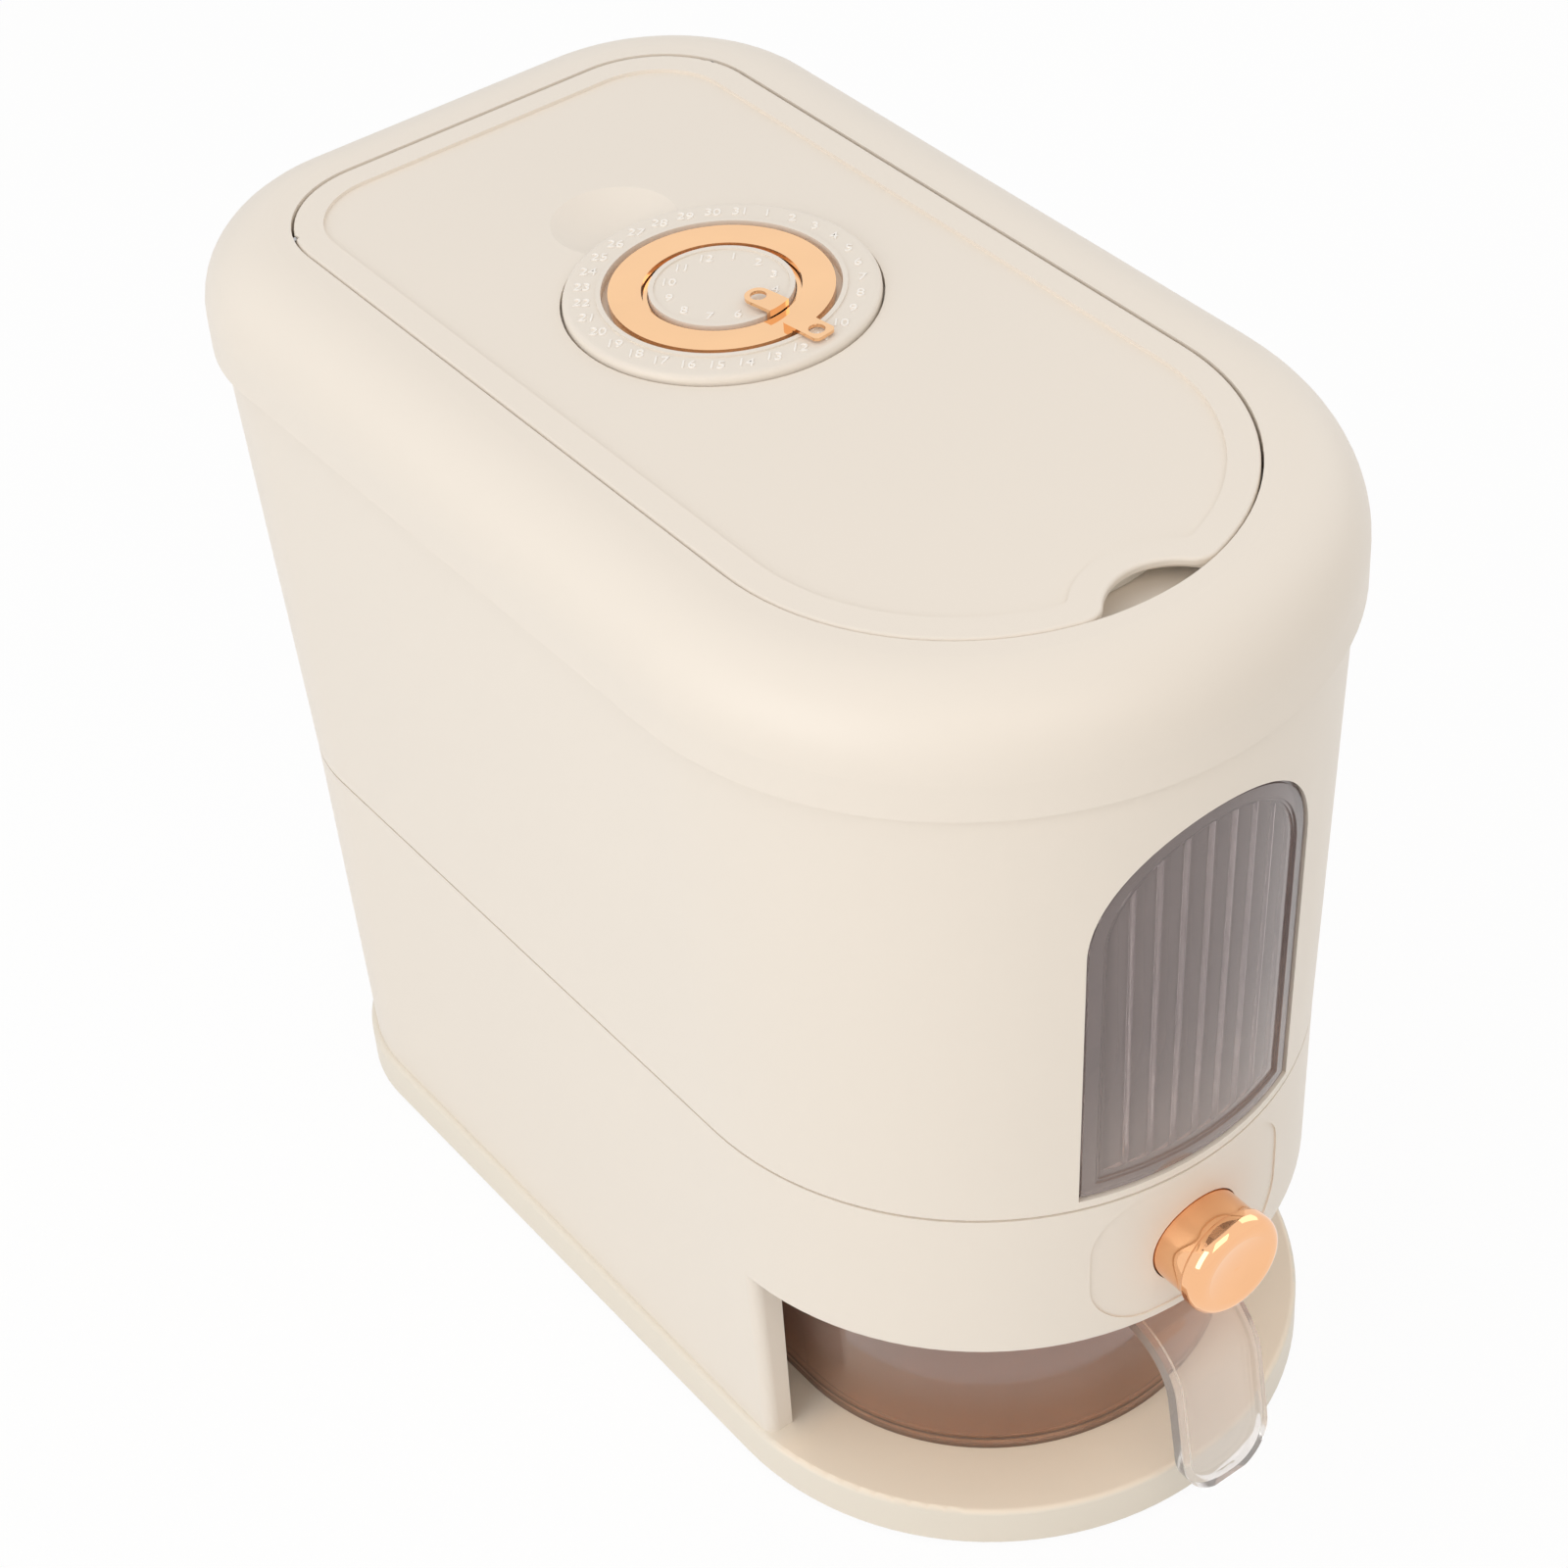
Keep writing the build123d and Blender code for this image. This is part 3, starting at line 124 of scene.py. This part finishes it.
def colour_property(label, use, default):
    """Colour that a user may change."""
    return bpy.props.FloatVectorProperty(
        name=label, description=use, default=default, subtype="COLOR", size=3, min=0.0, max=1.0)


def length_property(label, use, default):
    """Length in metres that a user may change."""
    return bpy.props.FloatProperty(
        name=label, description=use, default=default, min=0.0, precision=5, unit="LENGTH")


def angle_property(label, use, degrees):
    """Angle that a user may change."""
    return bpy.props.FloatProperty(
        name=label, description=use, default=radians(degrees), subtype="ANGLE")


def power_property(label, use, default):
    """Power of a lamp that a user may change."""
    return bpy.props.FloatProperty(
        name=label, description=use, default=default, min=0.0, subtype="POWER")


class DispenserColours(bpy.types.PropertyGroup):
    """Colours of the finishes."""

    cream: colour_property("Cream", "Outer mouldings", shade(238, 229, 217))
    base_edge: colour_property("Base edge", "Rest of the base plate", shade(236, 228, 214))
    # Painted light: the bay's floor is given a lighter, warmer colour that stands in for the light
    # falling on it.
    base_top: colour_property("Base top", "Warmer floor of the cup's bay", shade(254, 239, 218))
    dial_cream: colour_property("Dial cream", "Dial plate and month disc", shade(236, 227, 215))
    # Painted highlight: the numbers are a shade lighter than the dial, standing in for the light their
    # raised faces catch.
    numeral: colour_property("Numbers", "Raised numbers of the dial", shade(250, 245, 238))
    rose_gold: colour_property("Rose gold", "Day ring and month pointer", shade(250, 204, 158))
    copper: colour_property("Copper", "Push button", shade(252, 194, 147))
    smoke: colour_property("Smoke", "Window of the hopper", shade(208, 193, 191))
    # Painted light: the window's lower part is made paler to stand in for the light inside the hopper
    # behind it.
    smoke_low: colour_property("Low smoke", "Lower edge of the window", shade(238, 222, 216))
    cup: colour_property("Cup", "Body of the measuring cup", shade(251, 224, 210))
    # Painted shade: the cup's lower part is made darker and browner, standing in for the shaded bay
    # seen through it.
    cup_foot: colour_property("Cup foot", "Lower part of the measuring cup", shade(242, 206, 181))
    # The handle is paler than the cup: partly its own clearer tint, partly painted highlight.
    handle: colour_property("Handle", "Handle of the measuring cup", shade(254, 249, 246))
    inner: colour_property("Inner white", "Funnel, gate and inner mouldings", shade(238, 236, 230))
    seal: colour_property("Seal", "Soft ring under the lid", shade(226, 222, 214))
    foot: colour_property("Feet", "Rubber feet", shade(70, 68, 66))
    steel: colour_property("Steel", "Screws, pins and spring", shade(196, 196, 198))


class DialNumbers(bpy.types.PropertyGroup):
    """Size and place of the dial's numbers."""

    day_height: length_property("Day height", "Height of a day number", 0.0035)
    month_height: length_property("Month height", "Height of a month number", 0.0033)
    relief: length_property("Relief", "How far a number stands above the face", 0.00034)
    day_radius: length_property("Day radius", "Day numbers from the dial's axis", 0.0381)
    month_radius: length_property("Month radius", "Month numbers from the dial's axis", 0.0149)
    day_start: angle_property("Day start", "Line between 31 and 1, counted from the right", 40.0)
    month_start: angle_property("Month start", "Line between 12 and 1, counted from the right", 56.0)
    upright: angle_property("Upright", "Direction that the top of every number points to", 47.0)


class StudioSettings(bpy.types.PropertyGroup):
    """Camera and light of the stage."""

    camera_place: bpy.props.FloatVectorProperty(
        name="Camera place", description="Where the camera stands", size=3,
        default=(-0.45703, -0.65323, 0.84436), subtype="XYZ", unit="LENGTH")
    camera_turn: angle_property("Camera turn", "Direction round the dispenser", -34.224)
    camera_rise: angle_property("Camera rise", "Direction above the horizon", 40.425)
    camera_roll: angle_property("Camera roll", "Tilt of the picture", -4.418)
    focal_length: bpy.props.FloatProperty(
        name="Focal length", description="Lens for a sensor 36 mm wide",
        default=81.93, min=1.0, subtype="DISTANCE_CAMERA")
    room_light: bpy.props.FloatProperty(
        name="Room light", description="Even light from all round", default=0.56, min=0.0)
    key_power: power_property("Key power", "Large soft lamp on the left", 8.7)
    side_power: power_property("Side power", "Large soft lamp on the right", 4.5)
    top_power: power_property("Top power", "Large soft lamp overhead", 4.4)
    front_power: power_property("Front power", "Warm soft lamp in front", 3.7)
    front_tint: colour_property("Front tint", "Colour of the lamp in front", (1.0, 0.87, 0.74))
    floor: colour_property("Floor", "Plain pale floor", shade(246, 245, 243))


class Wire:
    """A node's output in a Python expression; each operator adds a Math node."""

    def __init__(self, finish, socket):
        self.finish = finish
        self.socket = socket

    def math(self, operation, first, second):
        """Math node on two values or wires."""
        return self.finish.node("ShaderNodeMath", {"operation": operation}, {0: first, 1: second})

    def __add__(self, other):
        return self.math("ADD", self, other)

    __radd__ = __add__

    def __sub__(self, other):
        return self.math("SUBTRACT", self, other)

    def __rsub__(self, other):
        return self.math("SUBTRACT", other, self)

    def __mul__(self, other):
        return self.math("MULTIPLY", self, other)

    __rmul__ = __mul__


class Finish:
    """Nodes of one material or of the world."""

    def __init__(self, owner):
        owner.use_nodes = True
        self.owner = owner
        self.tree = owner.node_tree
        self.tree.nodes.clear()

    def node(self, kind, settings=None, sockets=None, out=0):
        """Adds a node: its settings first, then the values or wires of its sockets."""
        made = self.tree.nodes.new(kind)
        for key, value in (settings or {}).items():
            setattr(made, key, value)
        for key, value in (sockets or {}).items():
            if isinstance(value, Wire):
                self.tree.links.new(value.socket, made.inputs[key])
            else:
                made.inputs[key].default_value = value
        return Wire(self, made.outputs[out]) if made.outputs else None

    def place(self):
        """Coordinates that stay with the piece, in metres."""
        return self.node("ShaderNodeTexCoord", out="Object")

    def along(self, place, axis, start, end):
        """Value that rises from 0 to 1 between two places on an axis."""
        coordinate = self.node("ShaderNodeSeparateXYZ", None, {0: place}, out=axis)
        sockets = {"Value": coordinate, "From Min": start, "From Max": end}
        return self.node("ShaderNodeMapRange", {"interpolation_type": "SMOOTHSTEP"}, sockets)

    def noise(self, place, scale, detail=2.0):
        """Cloudy value from 0 to 1."""
        sockets = {"Vector": place, "Scale": scale, "Detail": detail}
        return self.node("ShaderNodeTexNoise", None, sockets)

    def mix(self, factor, first, second):
        """Colour between two colours."""
        sockets = {0: factor, 6: rgba(first), 7: rgba(second)}
        return self.node("ShaderNodeMix", {"data_type": "RGBA"}, sockets, out=2)

    def clouded(self, cloud, colour, dark, light, place=None, fades=()):
        """Colour with clouds; a fade is one more colour and the axis, start and end of its ways in."""
        tone = self.mix(cloud, times(colour, dark), times(colour, light))
        for other, first, *more in fades:
            share = self.along(place, *first)
            for way in more:
                share = share * self.along(place, *way)
            tone = self.mix(share, tone, self.mix(cloud, times(other, dark), times(other, light)))
        return tone

    def bump(self, height, strength, distance):
        """Normal that follows a height."""
        sockets = {"Strength": strength, "Distance": distance, "Height": height}
        return self.node("ShaderNodeBump", None, sockets)

    def surface(self, sockets):
        """Closes the material with one shader."""
        shader = self.node("ShaderNodeBsdfPrincipled", None, sockets)
        self.node("ShaderNodeOutputMaterial", None, {"Surface": shader})
        return self.owner


def rgba(colour):
    """Colour with full opacity; a wire stays as it is."""
    return colour if isinstance(colour, Wire) else (*colour[:3], 1.0)


def times(colour, factor):
    """Colour made darker or lighter."""
    return tuple(min(1.0, level * factor) for level in colour[:3])


def uneven(level, *swings):
    """Level that swings up and down with each cloud."""
    for cloud, swing in swings:
        level = level + (cloud - CLOUD_MIDDLE) * swing
    return level


def moulded_plastic(name, colour, roughness=0.42, fades=()):
    """Satin moulded plastic: flow clouds, fine grain, uneven gloss, further colours along an axis."""
    finish = Finish(bpy.data.materials.new(name))
    place = finish.place()
    flow = finish.noise(place, scale=6.0, detail=3.0)
    grain = finish.noise(place, scale=1500.0)
    return finish.surface({
        "Base Color": finish.clouded(flow, colour, dark=0.975, light=1.012, place=place, fades=fades),
        "Roughness": uneven(roughness, (flow, 0.10), (grain, 0.12)),
        "Normal": finish.bump(grain, strength=0.22, distance=GRAIN_DEPTH),
        "IOR": 1.47, "Specular IOR Level": 0.42})


def bright_metal(name, colour, roughness):
    """Polished plated metal with faint waviness and uneven gloss."""
    finish = Finish(bpy.data.materials.new(name))
    place = finish.place()
    cloud = finish.noise(place, scale=45.0, detail=3.0)
    wave = finish.noise(place, scale=110.0, detail=1.0)
    haze = finish.noise(place, scale=900.0)
    return finish.surface({
        "Base Color": finish.clouded(cloud, colour, dark=0.93, light=1.04), "Metallic": 1.0,
        "Roughness": uneven(roughness, (haze, 0.06), (cloud, 0.04)),
        "Normal": finish.bump(wave, strength=0.05, distance=WAVE_DEPTH)})


def clear_plastic(name, colour, clarity, roughness, ripple, fades=()):
    """Tinted clear plastic with slight ripples and haze, and further tints along an axis."""
    finish = Finish(bpy.data.materials.new(name))
    place = finish.place()
    cloud = finish.noise(place, scale=28.0)
    wave = finish.noise(place, scale=60.0, detail=1.0)
    return finish.surface({
        "Base Color": finish.clouded(cloud, colour, dark=0.95, light=1.03, place=place, fades=fades),
        "Roughness": uneven(roughness, (cloud, 0.05)),
        "Normal": finish.bump(wave, strength=ripple, distance=WAVE_DEPTH),
        "IOR": 1.49, "Transmission Weight": clarity})


def soft_rubber(name, colour, roughness):
    """Matt rubber or silicone with a fine pitted skin."""
    finish = Finish(bpy.data.materials.new(name))
    place = finish.place()
    cloud = finish.noise(place, scale=30.0, detail=3.0)
    pits = finish.noise(place, scale=2200.0)
    return finish.surface({
        "Base Color": finish.clouded(cloud, colour, dark=0.86, light=1.1),
        "Roughness": uneven(roughness, (cloud, 0.12)),
        "Normal": finish.bump(pits, strength=0.35, distance=0.0001),
        "Specular IOR Level": 0.35})


def plain_steel(name, colour):
    """Bright drawn steel with fine streaks of gloss."""
    finish = Finish(bpy.data.materials.new(name))
    place = finish.place()
    cloud = finish.noise(place, scale=250.0, detail=3.0)
    streak = finish.noise(place, scale=1800.0)
    return finish.surface({
        "Base Color": finish.clouded(cloud, colour, dark=0.82, light=1.05), "Metallic": 1.0,
        "Roughness": uneven(0.28, (streak, 0.2)),
        "Normal": finish.bump(streak, strength=0.12, distance=0.00005)})


def dress(material, *names):
    """Gives nodes of the frame one material."""
    for name in names:
        slots = frame["nodes"][name].data.materials
        slots.clear()
        slots.append(material)


def place_in_scene(piece, material, body):
    """Puts a new piece in the scene and lets it ride on a body."""
    piece.data.materials.append(material)
    bpy.context.scene.collection.objects.link(piece)
    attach(piece, body)


def numbers_mesh(name, count, height, relief, radius, start, upright, middle):
    """One mesh of raised numbers that stand upright round the dial, clockwise from the start."""
    joined = bmesh.new()
    for number in range(1, count + 1):
        angle = start - (number - 0.5) * 2 * pi / count
        spot = middle + Vector((radius * cos(angle), radius * sin(angle), 0))
        writing = bpy.data.curves.new(name, "FONT")
        writing.body = str(number)
        writing.size = height * LETTER_SIZE
        writing.align_x = "CENTER"
        writing.align_y = "CENTER"
        writing.extrude = relief * LETTER_UPRIGHT
        writing.bevel_depth = relief * LETTER_ROUND
        writing.bevel_resolution = 1
        writing.offset = -height * LETTER_THIN
        writing.resolution_u = 4
        holder = bpy.data.objects.new(name, writing)
        letters = bpy.data.meshes.new_from_object(holder)
        letters.transform(Matrix.Translation(spot) @ Matrix.Rotation(upright - pi / 2, 4, "Z"))
        joined.from_mesh(letters)
        bpy.data.objects.remove(holder)
        bpy.data.curves.remove(writing)
        bpy.data.meshes.remove(letters)
    mesh = bpy.data.meshes.new(name)
    joined.to_mesh(mesh)
    joined.free()
    return bpy.data.objects.new(name, mesh)


class BodyMouldings(bpy.types.Operator):
    """Finishes the base, the lower body, the hopper shell and the top rim in satin cream, with painted
    light on the bay's floor
    """

    bl_idname = "dispenser.body_mouldings"
    bl_label = "Body mouldings"

    def execute(self, context):
        colours = context.scene.dispenser_colours
        cream = moulded_plastic("satin_cream", colours.cream)
        dress(cream, "lower_body", "hopper_shell", "top_rim", "lid_well")
        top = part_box("measuring_cup")[0].z
        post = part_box("lower_body")[0].y + POST_BACK
        # Painted light: the base plate's top face in front of the posts turns lighter and warmer.
        painted_bay_light = (colours.base_top, ("Z", top - PAINTED_LIGHT_RISE, top), ("Y", post, post - PAINTED_LIGHT_REACH))
        edge = moulded_plastic("base_cream", colours.base_edge, roughness=0.46, fades=(painted_bay_light,))
        dress(edge, "base_plate")
        return {"FINISHED"}


class HingedLid(bpy.types.Operator):
    """Finishes the lid with its seal, its hinge pins and the sachet cup under the dial"""

    bl_idname = "dispenser.hinged_lid"
    bl_label = "Hinged lid"

    def execute(self, context):
        colours = context.scene.dispenser_colours
        dress(moulded_plastic("lid_cream", colours.cream, roughness=0.45), "lid")
        dress(soft_rubber("seal_silicone", colours.seal, roughness=0.5), "lid_seal")
        dress(moulded_plastic("sachet_cup_white", colours.inner, roughness=0.5), "desiccant_cup")
        dress(plain_steel("hinge_pin_steel", colours.steel), "hinge_pins")
        return {"FINISHED"}


class DateDial(bpy.types.Operator):
    """Finishes the dial and sets the raised day and month numbers on it"""

    bl_idname = "dispenser.date_dial"
    bl_label = "Date dial"

    def execute(self, context):
        colours = context.scene.dispenser_colours
        numbers = context.scene.dispenser_numbers
        cream = moulded_plastic("dial_cream", colours.dial_cream, roughness=0.4)
        dress(cream, "dial_plate", "month_disc")
        low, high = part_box("dial_plate")
        middle = Vector(((low.x + high.x) / 2, (low.y + high.y) / 2, high.z - BEAD_HEIGHT))
        # Painted highlight: the raised numbers take a lighter cream than the dial.
        raised = moulded_plastic("numeral_painted_highlight", colours.numeral, roughness=0.36)
        days = numbers_mesh(
            "day_numbers", DAYS, numbers.day_height, numbers.relief, numbers.day_radius,
            numbers.day_start, numbers.upright, middle)
        place_in_scene(days, raised, "dial")
        months = numbers_mesh(
            "month_numbers", MONTHS, numbers.month_height, numbers.relief, numbers.month_radius,
            numbers.month_start, numbers.upright, middle)
        place_in_scene(months, raised, "dial")
        return {"FINISHED"}


class DatePointers(bpy.types.Operator):
    """Finishes the day ring and the month pointer in rose gold"""

    bl_idname = "dispenser.date_pointers"
    bl_label = "Date pointers"

    def execute(self, context):
        colours = context.scene.dispenser_colours
        gold = bright_metal("pointer_rose_gold", colours.rose_gold, roughness=0.08)
        dress(gold, "day_ring", "month_pointer")
        return {"FINISHED"}


def spring_coil(material):
    """Copy of the return spring, riding on the housing in place of the frame's spring, which is
    hidden.
    """
    dress(material, "return_spring")
    mesh = frame["nodes"]["return_spring"].data.copy()
    mesh.materials.clear()
    coil = bpy.data.objects.new("spring_coil", mesh)
    place_in_scene(coil, material, "housing")
    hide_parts("return_spring")
    low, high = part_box("return_spring")
    press = next(joint for joint in frame["joints"] if joint["name"] == "button_press")
    left = 1 - press["range_m"][1] / (high.y - low.y)
    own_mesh(coil)


class PushButton(bpy.types.Operator):
    """Finishes the button with its rod, sleeve and spring"""

    bl_idname = "dispenser.push_button"
    bl_label = "Push button"

    def execute(self, context):
        colours = context.scene.dispenser_colours
        copper = bright_metal("button_copper", colours.copper, roughness=0.03)
        dress(copper, "button_cap", "button_barrel")
        white = moulded_plastic("button_works_white", colours.inner, roughness=0.48)
        dress(white, "push_rod", "button_sleeve")
        spring_coil(plain_steel("spring_steel", colours.steel))
        return {"FINISHED"}


class ViewWindow(bpy.types.Operator):
    """Finishes the fluted window of the hopper in smoky clear plastic, with painted light towards its
    lower edge
    """

    bl_idname = "dispenser.view_window"
    bl_label = "View window"

    def execute(self, context):
        colours = context.scene.dispenser_colours
        low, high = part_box("view_window")
        # Painted light: the window's tint grows paler from its middle down to its lower edge.
        painted_low_light = (colours.smoke_low, ("Z", (low.z + high.z) / 2, low.z))
        smoke = clear_plastic(
            "window_smoke", colours.smoke, clarity=0.8, roughness=0.05, ripple=0.06, fades=(painted_low_light,))
        dress(smoke, "view_window")
        return {"FINISHED"}


class MeasuringCup(bpy.types.Operator):
    """Finishes the measuring cup in clear plastic, with painted shade towards its foot"""

    bl_idname = "dispenser.measuring_cup"
    bl_label = "Measuring cup"

    def execute(self, context):
        colours = context.scene.dispenser_colours
        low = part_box("measuring_cup")[0]
        # Painted shade: the cup's wall turns darker and browner towards its foot.
        foot = (colours.cup_foot, ("Z", low.z + CUP_SHADE_TOP, low.z + CUP_SHADE_LOW))
        # Partly painted highlight: the handle, from the cup's front, takes a paler tint.
        handle = (colours.handle, ("Y", low.y + HANDLE_LENGTH, low.y))
        clear = clear_plastic(
            "cup_clear", colours.cup, clarity=0.86, roughness=0.05, ripple=0.04, fades=(foot, handle))
        dress(clear, "measuring_cup")
        return {"FINISHED"}


class HopperGate(bpy.types.Operator):
    """Finishes the funnel, the gate and its shutter, which lie inside"""

    bl_idname = "dispenser.hopper_gate"
    bl_label = "Hopper gate"

    def execute(self, context):
        colours = context.scene.dispenser_colours
        white = moulded_plastic("inner_white", colours.inner, roughness=0.46)
        dress(white, "hopper_funnel", "gate_housing", "shutter_plate")
        return {"FINISHED"}


class FeetAndScrews(bpy.types.Operator):
    """Finishes the rubber feet and the screws"""

    bl_idname = "dispenser.feet_and_screws"
    bl_label = "Feet and screws"

    def execute(self, context):
        colours = context.scene.dispenser_colours
        dress(soft_rubber("foot_rubber", colours.foot, roughness=0.7), "rubber_feet")
        dress(plain_steel("screw_steel", colours.steel), "base_screws", "gate_screws")
        return {"FINISHED"}


def soft_lamp(name, place, target, size, power, tint=WHITE[:3], mirrored=True):
    """Square area lamp aimed at a point; it may be left out of mirror images."""
    lamp = bpy.data.lights.new(name, "AREA")
    lamp.shape = "SQUARE"
    lamp.size = size
    lamp.energy = power
    lamp.color = tint
    holder = bpy.data.objects.new(name, lamp)
    holder.location = place
    holder.visible_glossy = mirrored
    holder.rotation_mode = "QUATERNION"
    holder.rotation_quaternion = (Vector(target) - Vector(place)).to_track_quat("-Z", "Y")
    bpy.context.scene.collection.objects.link(holder)


def seen_straight(finish):
    """1 for camera, mirror and clear-plastic rays, 0 for the light that falls on the object."""
    path = {key: finish.node("ShaderNodeLightPath", out=key)
            for key in ("Is Camera Ray", "Is Glossy Ray", "Is Transmission Ray")}
    either = path["Is Camera Ray"] + path["Is Glossy Ray"] + path["Is Transmission Ray"]
    return either.math("MINIMUM", either, 1.0)


class StudioStage(bpy.types.Operator):
    """Makes the floor, the soft light and the camera"""

    bl_idname = "dispenser.studio_stage"
    bl_label = "Studio stage"

    def execute(self, context):
        scene = context.scene
        studio = scene.dispenser_studio
        scene.view_settings.view_transform = "Standard"
        self.room(scene, studio)
        self.floor(scene, studio)
        middle = (cad_box[0] + cad_box[1]) / 2
        soft_lamp("key_lamp", (-1.6, -0.25, 0.9), middle, size=1.2, power=studio.key_power)
        soft_lamp("side_lamp", (1.6, 0.1, 1.0), middle, size=1.3, power=studio.side_power)
        soft_lamp(
            "top_lamp", (-0.35, 0.45, 1.7), middle, size=1.4, power=studio.top_power, mirrored=False)
        soft_lamp(
            "front_lamp", (-0.25, -1.05, 1.25), middle, size=0.9, power=studio.front_power,
            tint=studio.front_tint)
        self.camera(scene, studio)
        return {"FINISHED"}

    def room(self, scene, studio):
        """Even light all round, white where it is looked at."""
        world = bpy.data.worlds.new("studio_room")
        scene.world = world
        finish = Finish(world)
        seen = seen_straight(finish)
        strength = studio.room_light + (1.0 - studio.room_light) * seen
        sky = finish.node("ShaderNodeBackground", None, {"Color": WHITE, "Strength": strength})
        finish.node("ShaderNodeOutputWorld", None, {"Surface": sky})

    def floor(self, scene, studio):
        """Wide pale floor that keeps the shadow."""
        mesh = bpy.data.meshes.new("studio_floor")
        grid = bmesh.new()
        bmesh.ops.create_grid(grid, x_segments=FLOOR_CELLS, y_segments=FLOOR_CELLS, size=FLOOR_REACH)
        grid.to_mesh(mesh)
        grid.free()
        finish = Finish(bpy.data.materials.new("floor_white"))
        cloud = finish.noise(finish.place(), scale=3.0)
        tone = finish.clouded(cloud, studio.floor, dark=0.99, light=1.01)
        matt = finish.node("ShaderNodeBsdfDiffuse", None, {"Color": tone})
        glow = finish.node("ShaderNodeEmission", None, {"Color": WHITE, "Strength": 1.0})
        white = seen_straight(finish) * FLOOR_GLOW
        both = finish.node("ShaderNodeMixShader", None, {0: white, 1: matt, 2: glow})
        finish.node("ShaderNodeOutputMaterial", None, {"Surface": both})
        mesh.materials.append(finish.owner)
        piece = bpy.data.objects.new("studio_floor", mesh)
        scene.collection.objects.link(piece)

    def camera(self, scene, studio):
        """Camera at the photograph's viewing angle."""
        turn, rise, roll = studio.camera_turn, studio.camera_rise, studio.camera_roll
        back = Vector((sin(turn) * cos(rise), -cos(turn) * cos(rise), sin(rise)))
        right = Vector((0, 0, 1)).cross(back).normalized()
        up = back.cross(right)
        level = Matrix((right, up, back)).transposed()
        lens = bpy.data.cameras.new("camera")
        lens.sensor_fit = "HORIZONTAL"
        lens.sensor_width = SENSOR_WIDTH
        lens.lens = studio.focal_length
        lens.clip_start = VIEW_NEAR
        lens.clip_end = VIEW_FAR
        view = bpy.data.objects.new("camera", lens)
        stand = Matrix.Translation(Vector(studio.camera_place))
        view.matrix_world = stand @ level.to_4x4() @ Matrix.Rotation(roll, 4, "Z")
        scene.collection.objects.link(view)
        scene.camera = view


OPERATORS = (
    BodyMouldings, HingedLid, DateDial, DatePointers, PushButton, ViewWindow, MeasuringCup,
    HopperGate, FeetAndScrews, StudioStage,
)


class DispenserPanel(bpy.types.Panel):
    """Lists the steps that dress the dispenser"""

    bl_idname = "DISPENSER_PT_finishes"
    bl_label = "Rice dispenser"
    bl_space_type = "VIEW_3D"
    bl_region_type = "UI"
    bl_category = "Dispenser"

    def draw(self, context):
        for step in OPERATORS:
            self.layout.operator(step.bl_idname)


SETTINGS = {
    "dispenser_colours": DispenserColours,
    "dispenser_numbers": DialNumbers,
    "dispenser_studio": StudioSettings,
}


def register():
    """Makes the settings, the operators and the panel known."""
    for name, group in SETTINGS.items():
        bpy.utils.register_class(group)
        setattr(bpy.types.Scene, name, bpy.props.PointerProperty(type=group))
    for step in (*OPERATORS, DispenserPanel):
        bpy.utils.register_class(step)


def unregister():
    """Takes back what register() made known."""
    for step in (DispenserPanel, *reversed(OPERATORS)):
        bpy.utils.unregister_class(step)
    for name, group in SETTINGS.items():
        delattr(bpy.types.Scene, name)
        bpy.utils.unregister_class(group)


def main():
    """Dresses the dispenser."""
    register()
    for step in OPERATORS:
        family, action = step.bl_idname.split(".")
        getattr(getattr(bpy.ops, family), action)()


if __name__ == "__main__":
    main()
